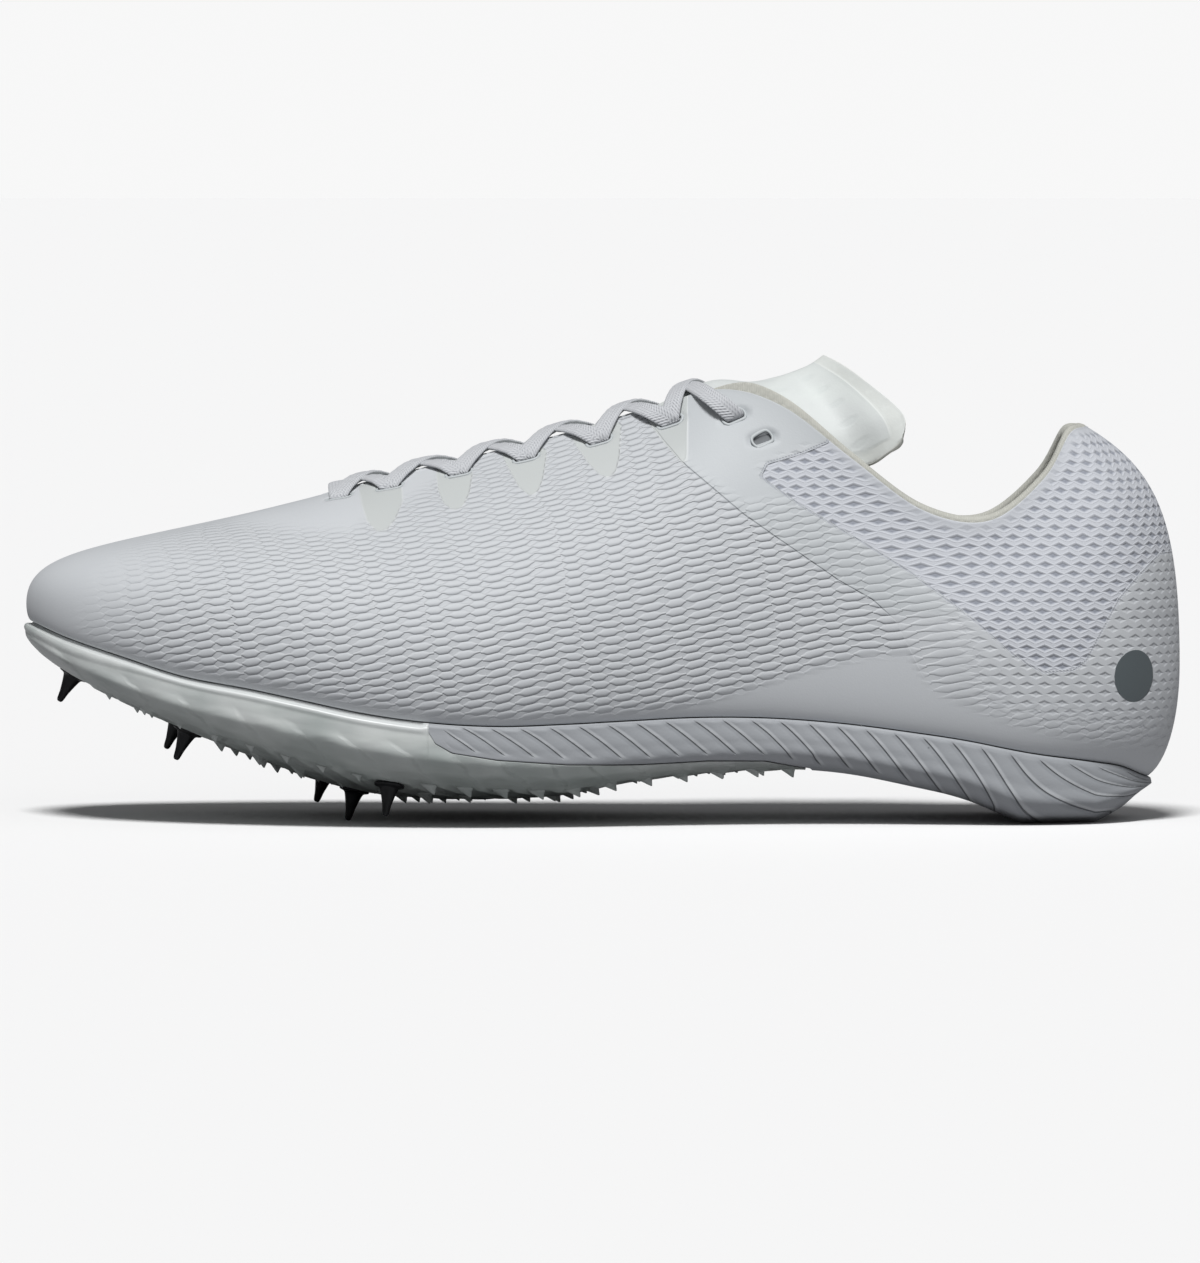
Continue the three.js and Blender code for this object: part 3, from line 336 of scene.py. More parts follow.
def tint(red, green, blue):
    # a screen colour from 0 to 255 as the linear colour that Blender wants
    c = np.array([red, green, blue]) / 255
    c = np.where(c <= 0.04045, c / 12.92, ((c + 0.055) / 1.055) ** 2.4)
    return (float(c[0]), float(c[1]), float(c[2]), 1.0)


class Value:
    # a socket that takes part in sums, so that an expression adds its Math nodes
    def __init__(self, graph, socket):
        self.graph, self.socket = graph, socket

    def math(self, operation, *items):
        made = self.graph.node("ShaderNodeMath", {"operation": operation}, dict(enumerate(items)))
        return Value(self.graph, made.outputs[0])

    def __rsub__(self, other):
        return self.math("SUBTRACT", other, self)

    def step(self, low, high):
        made = self.graph.node("ShaderNodeMapRange", {"interpolation_type": "SMOOTHSTEP"},
                               {"Value": self, "From Min": low, "From Max": high})
        return Value(self.graph, made.outputs[0])


def addOperation(name, operation):
    # lets a Value do one more operation of the Math node, by itself or with a second value
    setattr(Value, name, lambda self, *others: self.math(operation, self, *others))


for name, operation in [
        ("__add__", "ADD"), ("__radd__", "ADD"), ("__sub__", "SUBTRACT"), ("__mul__", "MULTIPLY"),
        ("__rmul__", "MULTIPLY"), ("__truediv__", "DIVIDE"), ("__pow__", "POWER"), ("floor", "FLOOR"),
        ("fract", "FRACT"), ("size", "ABSOLUTE"), ("sine", "SINE"), ("least", "MINIMUM"),
        ("most", "MAXIMUM")]:
    addOperation(name, operation)


class Graph:
    # the nodes of one material
    def __init__(self, name):
        self.material = bpy.data.materials.new(name)
        self.material.use_nodes = True
        self.tree = self.material.node_tree
        self.tree.nodes.clear()

    def node(self, kind, settings=None, inputs=None):
        made = self.tree.nodes.new(kind)
        for key, value in (settings or {}).items():
            setattr(made, key, value)
        for key, value in (inputs or {}).items():
            value = value.socket if isinstance(value, Value) else value
            if isinstance(value, bpy.types.NodeSocket):
                self.tree.links.new(value, made.inputs[key])
            else:
                made.inputs[key].default_value = value
        return made

    def attribute(self, name):
        return Value(self, self.node("ShaderNodeAttribute", {"attribute_name": name}).outputs["Fac"])

    def parts(self, socket):
        made = self.node("ShaderNodeSeparateXYZ", {}, {"Vector": socket})
        return [Value(self, made.outputs[k]) for k in range(3)]

    def vectorAttribute(self, name):
        return self.node("ShaderNodeAttribute", {"attribute_name": name}).outputs["Vector"]

    def place(self):
        # object coordinates in millimetres
        here = self.node("ShaderNodeTexCoord").outputs["Object"]
        scaled = self.node("ShaderNodeVectorMath", {"operation": "SCALE"}, {0: here, "Scale": 1000.0})
        return scaled.outputs[0]

    def noise(self, scale, detail, stretch=None):
        vector = self.place()
        if stretch:
            scaled = self.node("ShaderNodeVectorMath", {"operation": "MULTIPLY"}, {0: vector, 1: stretch})
            vector = scaled.outputs[0]
        inputs = {"Vector": vector, "Scale": scale, "Detail": detail, "Roughness": 0.5}
        return Value(self, self.node("ShaderNodeTexNoise", {}, inputs).outputs[0])

    def cells(self, scale):
        made = self.node("ShaderNodeTexVoronoi", {}, {"Vector": self.place(), "Scale": scale})
        return Value(self, made.outputs[0])

    def blend(self, factor, a, b):
        return self.node("ShaderNodeMix", {"data_type": "RGBA"}, {0: factor, 6: a, 7: b}).outputs[2]

    def layers(self, base, *coats):
        # coats of a factor and a screen colour, laid over the base one after the other
        for factor, colour in coats:
            base = self.blend(factor, base, tint(*colour))
        return base

    def relief(self, height):
        # height is in millimetres
        inputs = {"Height": height, "Distance": 0.001, "Strength": 1.0}
        return self.node("ShaderNodeBump", {}, inputs).outputs[0]

    def finish(self, constants, links):
        shader = self.node("ShaderNodeBsdfPrincipled", {}, {**constants, **links})
        self.node("ShaderNodeOutputMaterial", {}, {"Surface": shader.outputs[0]})
        return self.material


# sizes in millimetres, screen colours from 0 to 255; window, saddle, drops, eyestay, fan, yoke and lowLine
# are outlines in the picture's own columns and rows
knit = {
    "ribPeriod": 11.7, "ribNarrow": 0.42, "ribPitch": 1.96, "ribDepth": 0.34, "ribTilt": 0.14, "rise": 0.03,
    "meshLength": 4.25, "meshPitch": 2.2, "meshDepth": 0.28,
    "filmStep": 0.16, "white": (191, 194, 197), "valleyShade": (132, 136, 142),
    "meshWhite": (193, 196, 202), "meshHoleShade": (154, 158, 168), "meshCoreShade": (126, 131, 142),
    "film": (178, 183, 185), "drop": (186, 190, 187), "disc": (84, 92, 95), "raisedEdgeHighlight": (210, 213, 212),
    "scale": (150, 155, 163), "thread": (210, 212, 220), "rim": (192, 195, 200), "seam": (112, 117, 122),
    "stitch": (150, 153, 166), "smudge": (174, 178, 183),
    "discPlace": (22.2, -27.2, 35.3), "discRadius": 6.3,
    "seamRows": (606, 622), "toeColumns": (70, 215), "ridgeColumns": (330, 380), "scaleColumns": (640, 700),
    "wrapShift": 3.2, "behind": (12.5, 15.0),
    "eyestay": [(200, 480), (232, 520), (300, 530), (352, 531), (420, 492), (470, 455), (560, 426),
                (640, 400), (640, 300), (200, 300)],
    "fan": [(500, 742), (560, 724), (640, 712), (720, 694), (807, 667), (867, 652), (905, 650), (935, 690),
            (1010, 722), (1110, 742), (1200, 760), (1200, 800), (500, 800)],
    "yoke": [(640, 380), (688, 470), (742, 508), (790, 500), (760, 470), (800, 452), (860, 450), (860, 340),
             (640, 340)],
    "lowLine": [(360, 486), (470, 462), (550, 446), (690, 410)],
    "window": [(760, 478), (766, 466), (800, 456), (826, 445), (850, 380), (1100, 380), (1260, 430),
               (1260, 540), (1157, 553), (1135, 574), (1113, 599), (1095, 632), (1080, 660), (1068, 669),
               (1040, 671), (1028, 666), (1003, 649), (970, 619), (906, 571), (858, 541), (804, 509),
               (772, 487)],
    "saddle": [(640, 400), (648, 420), (664, 442), (685, 467), (741, 515), (772, 537), (837, 582), (869, 600),
               (893, 622), (960, 760), (1300, 800), (1300, 300), (640, 300)],
    "drops": [
        [(360, 486), (364, 505), (370, 522), (379, 532), (389, 531), (397, 520), (404, 502), (402, 484),
         (380, 478)],
        [(437, 470), (440, 492), (446, 505), (455, 511), (464, 508), (470, 494), (473, 474), (455, 460)],
        [(500, 450), (511, 472), (520, 488), (530, 496), (538, 494), (543, 480), (547, 452), (530, 438)],
        [(568, 430), (577, 447), (588, 463), (599, 475), (608, 479), (615, 474), (619, 458), (621, 425),
         (595, 415)],
        [(640, 408), (648, 422), (664, 444), (678, 460), (686, 468), (687, 395), (660, 385)],
    ],
}


def girth(points, rows):
    # arc length up each level section of one side, from the seat, read at the grid's own points
    half = points.shape[1]
    xs = np.linspace(points[..., 0].min(), points[..., 0].max(), 360)
    y = np.stack([np.interp(xs, points[k, :, 0], points[k, :, 1]) for k in range(rows)])
    z = np.stack([np.interp(xs, points[k, :, 0], points[k, :, 2]) for k in range(rows)])
    reached = np.stack([xs >= points[k, 0, 0] for k in range(rows)])
    step = np.hypot(np.diff(y, axis=0), np.diff(z, axis=0)) * reached[1:]
    total = np.concatenate([np.zeros((1, len(xs))), np.cumsum(step, axis=0)])
    return np.stack([np.interp(points[k, :, 0], xs, total[k]) for k in range(rows)]).reshape(rows, half)


upperGrid = {
    "columns": 560, "rows": 92, "shell": 1.05, "slotDepth": 1.0,
    "inner": [1.0, 0.97, 0.93, 0.88, 0.8, 0.7, 0.6, 0.5, 0.4, 0.3, 0.2, 0.12, 0.05],
}


def upperRows():
    low = np.linspace(0, shoe["waistShare"], 15)[:-1]
    return np.concatenate([low, np.linspace(shoe["waistShare"], 1, upperGrid["rows"] - 14)])


def knitFields(u, points):
    # knit is the place in the pattern: length along the shoe, height carried over the top as arc length
    rows, columns = points.shape[:2]
    half = columns // 2
    arcs = np.empty((rows, columns))
    outer = points[:, :half + 1]
    inner = np.concatenate([points[:, half:], points[:, :1]], 1)[:, ::-1]
    arcs[:, :half + 1] = girth(outer, rows)
    arcs[:, half:] = girth(inner, rows)[:, ::-1][:, :columns - half]
    walk = walkOf(u)
    level = seatAt(points[..., 0]) + arcs
    behind = smooth(*knit["behind"], walk)
    up = level * (1 - behind) + points[..., 2] * behind
    ref = skin(u[0], 0.45)
    run = np.concatenate([[0], np.cumsum(np.linalg.norm(np.diff(ref, axis=0)[:, :2], axis=1))])
    wrap = np.minimum(run, run[half] * 2 - run)
    wrap = wrap - wrap[half] + ref[half, 0] + knit["wrapShift"]
    along = points[..., 0] * (1 - behind) + wrap[None, :] * behind
    column, row = picture(points)
    fields = {"knit": np.stack([along, up, 0 * up], -1)}
    for name in ("window", "saddle"):
        fields[name] = polygonField(column, row, knit[name])
    drops = np.stack([polygonField(column, row, d) for d in knit["drops"]])
    fields["drop"] = drops.max(0)
    stay = smooth(-3.0, 2.0, polygonField(column, row, knit["eyestay"]))
    arch = smooth(-1.6, 1.8, polygonField(column, row, knit["fan"]))
    bare = smooth(-2.0, 2.5, polygonField(column, row, knit["yoke"]))
    # the ribs fade in along a line that leans over the toe
    toe = smooth(*knit["toeColumns"], column + 0.35 * (row - 600))
    heelEdge = smooth(0.5, 4.5, arcs)
    # the ribs of both sides die out before they meet on the middle line of the toe
    ridge = smooth(3, 15, np.abs(points[..., 1] - 2.0))
    ridge = ridge + (1 - ridge) * smooth(*knit["ridgeColumns"], column)
    fields["ribs"] = toe * heelEdge * (1 - stay) * (1 - arch) * (1 - bare) * ridge
    fields["scales"] = (1 - arch) * (1 - bare) * smooth(*knit["scaleColumns"], column) * smooth(4, 14, arcs)
    fields["rim"] = smooth(1.0, 4.0, np.linalg.norm(points - skin(u[:1], 1.0 + 0 * u[:1]), axis=-1))
    fields["seam"] = 1 - smooth(*knit["seamRows"], row)
    fields["low"] = smooth(0, 12, row - np.interp(column, *zip(*knit["lowLine"])))
    off = np.linalg.norm((points - knit["discPlace"]).reshape(-1, 3), axis=-1)
    middle = points.reshape(-1, 3)[np.argmin(off)]
    fields["disc"] = np.linalg.norm(points - middle, axis=-1) - knit["discRadius"]
    return fields


def slotPlaces():
    # the middle of each lace slot on the skin: walk along the edge until the slot's length is reached
    places = []
    for side in (-1, 1):
        for at, depth, arch, turn in zip(laces["slotAt"], laces["slotDepth"], laces["arch"], laces["turn"]):
            walks = np.linspace(1, 13, 4801)
            u = walks if side < 0 else period - walks
            pace = np.linalg.norm(skin(u, 1.0) - skin(u, 0.97), axis=-1) / 0.03
            t = 1 - laces["depth"] * depth / pace
            k = int(np.searchsorted(skin(u, t)[:, 0], xAt(at)))
            place = {"u": float(u[k]), "t": float(t[k]), "side": side, "arch": arch, "pace": float(pace[k])}
            place["centre"] = skin(u[k], t[k])
            place["normal"] = skinNormal(u[k], t[k])
            run = (skin(u[k] + 0.05, t[k]) - skin(u[k] - 0.05, t[k])) * -side
            place["walkPace"] = float(np.linalg.norm(run) / 0.1)
            level, rise = unit(run), np.cross(place["normal"], unit(run)) * -side
            place["turn"] = turn
            place["run"] = level * math.cos(turn) + rise * math.sin(turn)
            place["across"] = np.cross(place["normal"], place["run"])
            places.append(place)
    return places


laces = {
    "slotAt": [0.273, 0.316, 0.376, 0.434, 0.497, 0.558, 0.613, 0.637],
    "slotDepth": [1.75, 1.35, 1.15, 1.00, 1.04, 1.12, 1.35, 2.10],
    "arch": [0.05, 0.05, 0.06, 0.07, 0.10, 0.14, 0.20, 0.0], "lead": 0.34,
    "turn": [0, 0, 0, 0, 0, 0, 0.55, 0.7],
    "depth": 5.2, "slotLength": 5.6, "slotWidth": 2.2, "width": 4.6, "thickness": 1.1,
    "rows": 64, "sides": 20, "pinch": 0.12, "ripple": 0.12, "float": 0.62, "dive": [(-1.3, 0.2), (0.15, 0.1)],
    "white": (201, 203, 206), "valleyShade": (150, 154, 162),
}
slots = slotPlaces()


def slotField(points):
    # distance in millimetres to the outline of the nearest slot, negative inside
    best = np.full(points.shape[:-1], 1e9)
    half = (laces["slotLength"] - laces["slotWidth"]) / 2
    for slot in slots:
        off = points - slot["centre"]
        a, b = off @ slot["run"], off @ slot["across"]
        best = np.minimum(best, np.hypot(np.maximum(np.abs(a) - half, 0), b) - laces["slotWidth"] / 2
                          + 5 * (np.abs(off @ slot["normal"]) > 4))
    return best


def upperMaterial():
    g = Graph("filmed_knit")
    along, up, _ = g.parts(g.vectorAttribute("knit"))
    # sway bends the rows over some centimetres, wobble over some millimetres
    sway = g.noise(0.045, 1.0) - 0.5
    wobble = g.noise(0.22, 1.0) - 0.5
    # ribs: narrow and wide columns of small pillows in turn, each pillow rising to the heel
    run = (along + up * 0.23 + sway * 7.0 + wobble * 0.8) / knit["ribPeriod"]
    part = run.fract()
    wide = (part / knit["ribNarrow"]).floor().least(1.0)
    turn = part / knit["ribNarrow"] * (1 - wide) + (part - knit["ribNarrow"]) / (1 - knit["ribNarrow"]) * wide
    size = (knit["ribNarrow"] + wide * (1 - 2 * knit["ribNarrow"])) * knit["ribPeriod"]
    row = ((up - along * knit["rise"] + sway * 4.0 + wobble * 0.4 - (turn - 0.5) * size * knit["ribTilt"])
           / knit["ribPitch"] + wide * 0.46 + (run.floor() * 1.7).sine() * 0.14)
    level = row.fract()
    odd = (row.floor() * 0.5).fract() * 2
    ends = (turn - odd * wide * 0.12).step(0.0, 0.30) * (1 - turn - (1 - odd) * wide * 0.12).step(0.0, 0.30)
    crown = (1 - ((level - 0.54) / (0.16 + ends * 0.34)) ** 2).most(0.0)
    rib = crown ** 0.55
    groove = (1 - (level - 0.06).step(0.0, 0.40)) * (0.25 + ends * 0.75)
    # heel mesh: staggered rows of small leaf-shaped eyes, a bright thread under each
    eyeRow = ((up + wobble * 0.5) / knit["meshPitch"])
    rowLine = eyeRow.floor()
    eyeV = eyeRow - rowLine - 0.5
    eyeU = ((along + wobble * 0.5) / knit["meshLength"] + rowLine * 0.5).fract() - 0.5
    leaf = (eyeU.size() * 2.15 + (eyeV + eyeU * 0.10 + 0.04).size() * 2.4)
    eye = 1 - leaf.step(0.30, 1.05)
    core = 1 - (eyeU.size() * 3.2 + (eyeV + 0.10).size() * 4.2).step(0.25, 1.0)
    thread = 1 - (leaf - 1.2).size().step(0.0, 0.3)
    window = g.attribute("window")
    saddle = g.attribute("saddle")
    drop = g.attribute("drop")
    rim = g.attribute("rim")
    inWindow = window.step(-0.12, 0.16)
    lower = g.attribute("seam")
    inSaddle = saddle.step(-0.12, 0.12)
    film = inSaddle * lower
    inDrop = drop.step(-0.25, 0.15)
    ribs = g.attribute("ribs") * (1 - inDrop)
    scales = g.attribute("scales")
    toHeel = saddle.step(5.0, 20.0)
    ribShow = ribs * (1 - inSaddle * 0.45) * (1 - toHeel) * (1 - inWindow)
    disc = 1 - g.attribute("disc").step(-0.1, 0.1)
    scaleShow = scales * inSaddle * toHeel * (1 - inWindow) * (1 - disc)
    eyes = inWindow * (1 - (1 - rim) * 0.75)
    seam = (1 - (saddle - 0.05).size().step(0.0, 0.24)) * (1 - inDrop) * lower
    # painted highlight: a light line along the drop films' edges below the low line, where the edge is also
    # raised a little
    raisedEdgeHighlight = (1 - (drop + 0.1).size().step(0.05, 0.42)) * g.attribute("low")
    stitch = 1 - (window + 0.30).size().step(0.08, 0.40)
    dotty = ((along + up) / 0.9).fract().step(0.25, 0.5)
    smudge = g.noise(0.02, 3.0) - 0.5
    grain = g.noise(2.2, 2.0) - 0.5
    height = (rib * ribShow * knit["ribDepth"] - eye * eyes * knit["meshDepth"] + thread * eyes * 0.06
              - eye * scaleShow * 0.24 + film * knit["filmStep"] * (1 - inWindow)
              + inDrop * 0.08 + raisedEdgeHighlight * 0.05 + grain * 0.02 - seam * 0.15 - stitch * dotty * 0.12
              + disc * 0.08 - inWindow * 0.08)
    # painted shade: the valley colour darkens each rib's groove below its pillow, standing in for the rib's
    # own shadow
    base = g.blend(ribShow * groove * 0.42, tint(*knit["white"]), tint(*knit["valleyShade"]))
    # painted shade: the scale colour darkens the recessed eyes of the embossed heel scales
    base = g.layers(base, (film * (1 - scaleShow) * 0.6, knit["film"]), (inDrop * 0.75, knit["drop"]),
                    (raisedEdgeHighlight * 0.3, knit["raisedEdgeHighlight"]), (eye * scaleShow * 0.22, knit["scale"]))
    # painted shade: the mesh eyes and their darker cores take the colour of the shade inside the holes
    mesh = g.layers(tint(*knit["meshWhite"]), (eye, knit["meshHoleShade"]), (core * 0.5, knit["meshCoreShade"]),
                    (thread * 0.2, knit["thread"]), ((1 - rim) * 0.75, knit["rim"]))
    base = g.layers(g.blend(inWindow, base, mesh), (seam * 0.45, knit["seam"]),
                    (stitch * dotty * 0.5, knit["stitch"]), ((smudge * 0.5 + 0.1).most(0.0), knit["smudge"]),
                    (disc, knit["disc"]))
    rough = 0.60 - inDrop * 0.20 - inSaddle * 0.06 + inWindow * 0.28 - disc * 0.12 + grain * 0.1
    return g.finish({"Specular IOR Level": 0.4, "Sheen Weight": 0.05},
                    {"Base Color": base, "Roughness": rough, "Normal": g.relief(height)})


def makeUpper():
    # closed shell: outside from seat to edge, a round film edge, and back down the inside
    u = np.arange(upperGrid["columns"]) * period / upperGrid["columns"]
    rows = upperRows()
    uu, tt = np.meshgrid(u, rows)
    outside = skin(uu, tt)
    fields = knitFields(uu, outside)
    sink = upperGrid["slotDepth"] * (1 - smooth(-0.2, 0.9, slotField(outside)))
    normal = skinNormal(uu, tt)
    loops = [outside - normal * sink[..., None]]
    shell = upperGrid["shell"]
    edge, edgeNormal = skin(u, 1.0), skinNormal(u, 1.0)
    for angle in (30, 90, 150):
        a = math.radians(angle)
        lift = np.array([0, 0, 0.4 * shell * math.sin(a)])
        loops.append((edge - edgeNormal * shell * (1 - math.cos(a)) / 2 + lift)[None])
    ui, ti = np.meshgrid(u, upperGrid["inner"])
    loops.append(skin(ui, ti) - skinNormal(ui, ti) * shell)
    x, y, ox, oy = seatLine(u)
    foot = np.stack([x - ox * shell, y - oy * shell, seatAt(x - ox * shell)], -1)
    loops.append(foot[None])
    points = np.concatenate(loops)
    extra = len(points) - len(rows)
    padded = {}
    for key, values in fields.items():
        last = values[-1:]
        padded[key] = np.concatenate([values, np.repeat(last, extra, 0)]).reshape(-1, *values.shape[2:])
    faces = gridFaces(len(points), len(u), True, True)
    return makePiece("upper_shell", points, faces, upperMaterial(), ["upper"], padded, weld=False)


makeUpper()


lining = {
    "outer": 0.45, "roll": 1.9, "extra": 1.4, "throat": 0.7, "footTuck": 1.3, "footUp": (0.9, 0.2),
    "columns": 380, "rollAngles": (168, 12), "rollRows": 11,
    # rows of the last where the pad starts and is full, where the roll is highest, and where the throat ends
    "padRows": (10.4, 11.6), "peak": (11.6, 1.8), "throatRows": (11.9, 12.6),
    "inside": [0.04, 0.1, 0.2, 0.3, 0.4, 0.5, 0.6, 0.68, 0.75, 0.81, 0.86, 0.9, 0.935, 0.965, 0.99],
    "outside": [0.985, 0.94, 0.88, 0.8, 0.65, 0.5, 0.35, 0.2, 0.1, 0.04],
    "cream": (186, 186, 178), "shade": (164, 165, 158), "light": (210, 210, 202),
}


def liningMaterial():
    g = Graph("cream_lining")
    along, up, _ = g.parts(g.vectorAttribute("knit"))
    loops = ((along / 0.62).fract() - 0.5).size() * 2
    courses = ((up / 0.8 + (along / 1.24).floor() * 0.5).fract() - 0.5).size() * 2
    yarn = 1 - loops * courses
    soft = g.noise(0.16, 3.0)
    base = g.blend(yarn.step(0.5, 1.0) * 0.35, tint(*lining["cream"]), tint(*lining["shade"]))
    base = g.layers(base, ((soft - 0.45).most(0.0) * 0.6, lining["light"]))
    return g.finish({"Sheen Weight": 0.25, "Specular IOR Level": 0.3},
                    {"Base Color": base, "Roughness": 0.85 + soft * 0.1,
                     "Normal": g.relief(yarn * 0.10 + soft * 0.25)})


def makeLining():
    # inside wall of the last, and a soft roll over the collar: half an ellipse from the film to the inside
    u = np.arange(lining["columns"]) * period / lining["columns"]
    walk = walkOf(u)
    pad = smooth(*lining["padRows"], walk)
    up = np.array([0, 0, 1.0])
    ui, ti = np.meshgrid(u, lining["inside"])
    inside = skin(ui, ti) - skinNormal(ui, ti) * wallAt(ui, ti)[..., None]
    uo, to = np.meshgrid(u, lining["outside"])
    # along the throat the lining lies deeper, so that it doesn't fill the lace slots
    outer = lining["outer"] + lining["throat"] * (1 - smooth(*lining["throatRows"], walk))
    outside = skin(uo, to) - skinNormal(uo, to) * outer[None, :, None]
    edge, normal = skin(u, 1.0), skinNormal(u, 1.0)
    lead = unit(unit(edge - skin(u, 0.96)) + 0.9 * up)
    thick = wallAt(u, np.ones_like(u))
    rise = 0.1 + pad * (lining["roll"] + lining["extra"] * bump(walk, *lining["peak"]))
    roll = []
    for angle in np.linspace(*lining["rollAngles"], lining["rollRows"]):
        a = math.radians(angle)
        depth = (thick + outer) / 2 - math.cos(a) * (thick - outer) / 2 * (1 + 0.12 * pad)
        roll.append(edge - normal * depth[:, None] + lead * (rise * math.sin(a) ** 0.7)[:, None])
    # a foot that turns in under the insole, so that no gap shows along its edge
    x, y, ox, oy = seatLine(u)
    tuck = shoe["wall"] + lining["footTuck"]
    fx, fy = x - ox * tuck, y - oy * tuck
    foot = [np.stack([fx, fy, seatAt(fx) + h], -1)[None] for h in lining["footUp"]]
    points = np.concatenate([foot[0], inside, np.array(roll), outside, foot[1]])
    # read from the inside up, over and down the outside, so the order is turned to face out
    run = np.broadcast_to(lengthAlong(edge), points.shape[:2])
    climb = np.cumsum(np.r_[0, np.linalg.norm(np.diff(points, axis=0), axis=-1).mean(1)])[:, None]
    place = np.stack([run, np.broadcast_to(climb, run.shape), 0 * run], -1)
    faces = gridFaces(len(points), len(u), True, True)[:, ::-1]
    fields = {"knit": place.reshape(-1, 3)}
    thing = makePiece("collar_lining", points, faces, liningMaterial(), (), fields, weld=False)


makeLining()


sole = {
    "partAt": [0.352, 0.358, 0.372, 0.410, 0.470, 0.530, 0.590, 0.640, 0.680, 0.700],
    "partUp": [0.86, 0.70, 0.58, 0.52, 0.51, 0.55, 0.60, 0.60, 0.52, 0.20],
    "foamFrom": 0.352, "plateTo": 0.700, "down": [0, 0.08, 0.42, 0.72, 0.9, 1],
    "lipShare": [1, 1, 1.3, 0.8, 0, 0], "tuckShare": [0, 0, 0, 0, 0.3, 1], "topEdge": 0.4,
    "sipePitch": 6.9, "sipeRun": 12.2, "sipeFrom": 0.368,
    "foamTip": 22, "foamStations": 420, "foamSides": 30, "foamAcross": 14,
    "plateToe": 60, "plateStations": 150, "plateSides": 44, "plateAcross": 60,
    # shares of the length over which the cuts come and go, lean more, and reach lower
    "sipeStart": (0.364, 0.372), "sipeEnd": (0.962, 0.974), "sipeSweep": (0.84, 0.96),
    "sipeLower": (0.74, 0.82), "sipeTop": (0.05, 0.13), "sipeFoot": (0.80, 0.88),
    "lipEnd": (0.345, 0.352), "lipLow": (0.02, 0.14), "treadStart": (0.03, 0.08), "treadEnd": (0.65, 0.672),
    "pillow": 0.32, "pillowSink": 0.28, "pillowLean": 0.18, "lip": 0.35, "lipGroove": 1.3,
    "foam": (156, 159, 163), "foamLow": (145, 149, 153), "foamCutShade": (74, 78, 83),
    "foamLit": (206, 209, 211), "foamDusk": (112, 116, 121), "foamSpeck": (70, 74, 78),
    "plate": (196, 199, 198), "plateDeep": (160, 167, 165), "plateLip": (204, 207, 207),
    "plateTread": (134, 142, 137), "plateSwirl": (212, 217, 213),
    "treadMiddle": 3, "treadPitch": 8.6, "treadDepth": 0.7, "treadFan": 0.55,
    "treadGroove": (2.2, 0.4), "seatRound": (6.2, 7.4), "seatUp": 0.55,
    "seatBore": (4.6, 5.2), "seatDown": 0.9,
    "toothPitch": 8.6, "toothFrom": 0.075, "toothTo": 0.665, "toothHeight": 2.1, "toothBase": 2.2,
    # side and inset of the two rows along the edges, then side and place across of the rows between
    "toothRows": [(-1, 3.2), (1, 3.2), (-1, -8.0), (-1, 2.5), (-1, 12.0), (-1, -17.0)],
    "toothClear": (8.0, 6.0), "toothShift": 3.1, "toothSpread": 1.17, "toothSway": 2.5,
    "toothRings": [(-0.25, 1.0), (0.12, 0.74), (0.45, 0.46), (0.8, 0.22), (1.0, 0.07)],
    "toothCorners": [(-1, -1), (0, -1.1), (1, -1), (1.1, 0), (1, 1), (0, 1.1), (-1, 1), (-1.1, 0)],
}


def walkAt(x):
    # row of the last at a place along the shoe
    walks = np.linspace(0, lastRow, 3000)
    return np.interp(x, seatLine(walks)[0], walks)


def sideOut(down, x):
    # reach of the side of the sole out of the seat line, by the share of the way down
    lip, tuck = shoe["ballWidth"] * soleColumn(4, x), shoe["ballWidth"] * soleColumn(5, x)
    lip = lip * hermite(sole["down"], sole["lipShare"], down)
    tuck = tuck * hermite(sole["down"], sole["tuckShare"], down)
    return lip - tuck - sole["topEdge"] * (1 - smooth(0, 0.08, down))


def partDown(x, drop=0.0):
    # share of the way down at which foam gives way to the plate
    share = shareAt(x)
    top = seatAt(x) - shoe["gap"]
    part = shoe["stack"] * np.interp(share, sole["partAt"], sole["partUp"]) - drop
    return np.clip((top - part) / (top - underside(x, 0 * x)), 0, 1)


def soleLoft(walks, fromDown, toDown, sides, across, bulge=None, relief=None):
    # stations along the shoe; each is a loop down the outer side, across the bottom, up the inner side and
    # across the top
    f = np.linspace(0, 1, sides)[None, :]
    ends = []
    for mirror in (False, True):
        u = period - walks if mirror else walks
        x, y, ox, oy = (v[:, None] for v in seatLine(u))
        down = fromDown[:, None] + (toDown - fromDown)[:, None] * f
        out = sideOut(down, x)
        if bulge is not None:
            out = out + bulge(x, down)
        px, py = x + ox * out, y + oy * out
        top = seatAt(px) - shoe["gap"]
        pz = top + (underside(px, py) - top) * down
        ends.append((np.stack([px, py, pz], -1), down))
    (outer, downs), (inner, _) = ends
    r = (np.arange(1, across + 1) / (across + 1))[None, :, None]
    low = outer[:, -1:] * (1 - r) + inner[:, -1:] * r
    top = seatAt(low[..., 0]) - shoe["gap"]
    low[..., 2] = top + (underside(low[..., 0], low[..., 1]) - top) * toDown[:, None]
    if relief is not None:
        low[..., 2] -= relief(low[..., 0], low[..., 1])
    high = inner[:, :1] * (1 - r) + outer[:, :1] * r
    points = np.concatenate([outer, low, inner[:, ::-1], high], 1)
    flat, side = np.zeros(low.shape[:2]), np.ones(downs.shape)
    downMark = np.concatenate([downs, 1 + flat, downs[:, ::-1], flat], 1)
    sideMark = np.concatenate([side, flat, side, flat], 1)
    return points, downMark, sideMark


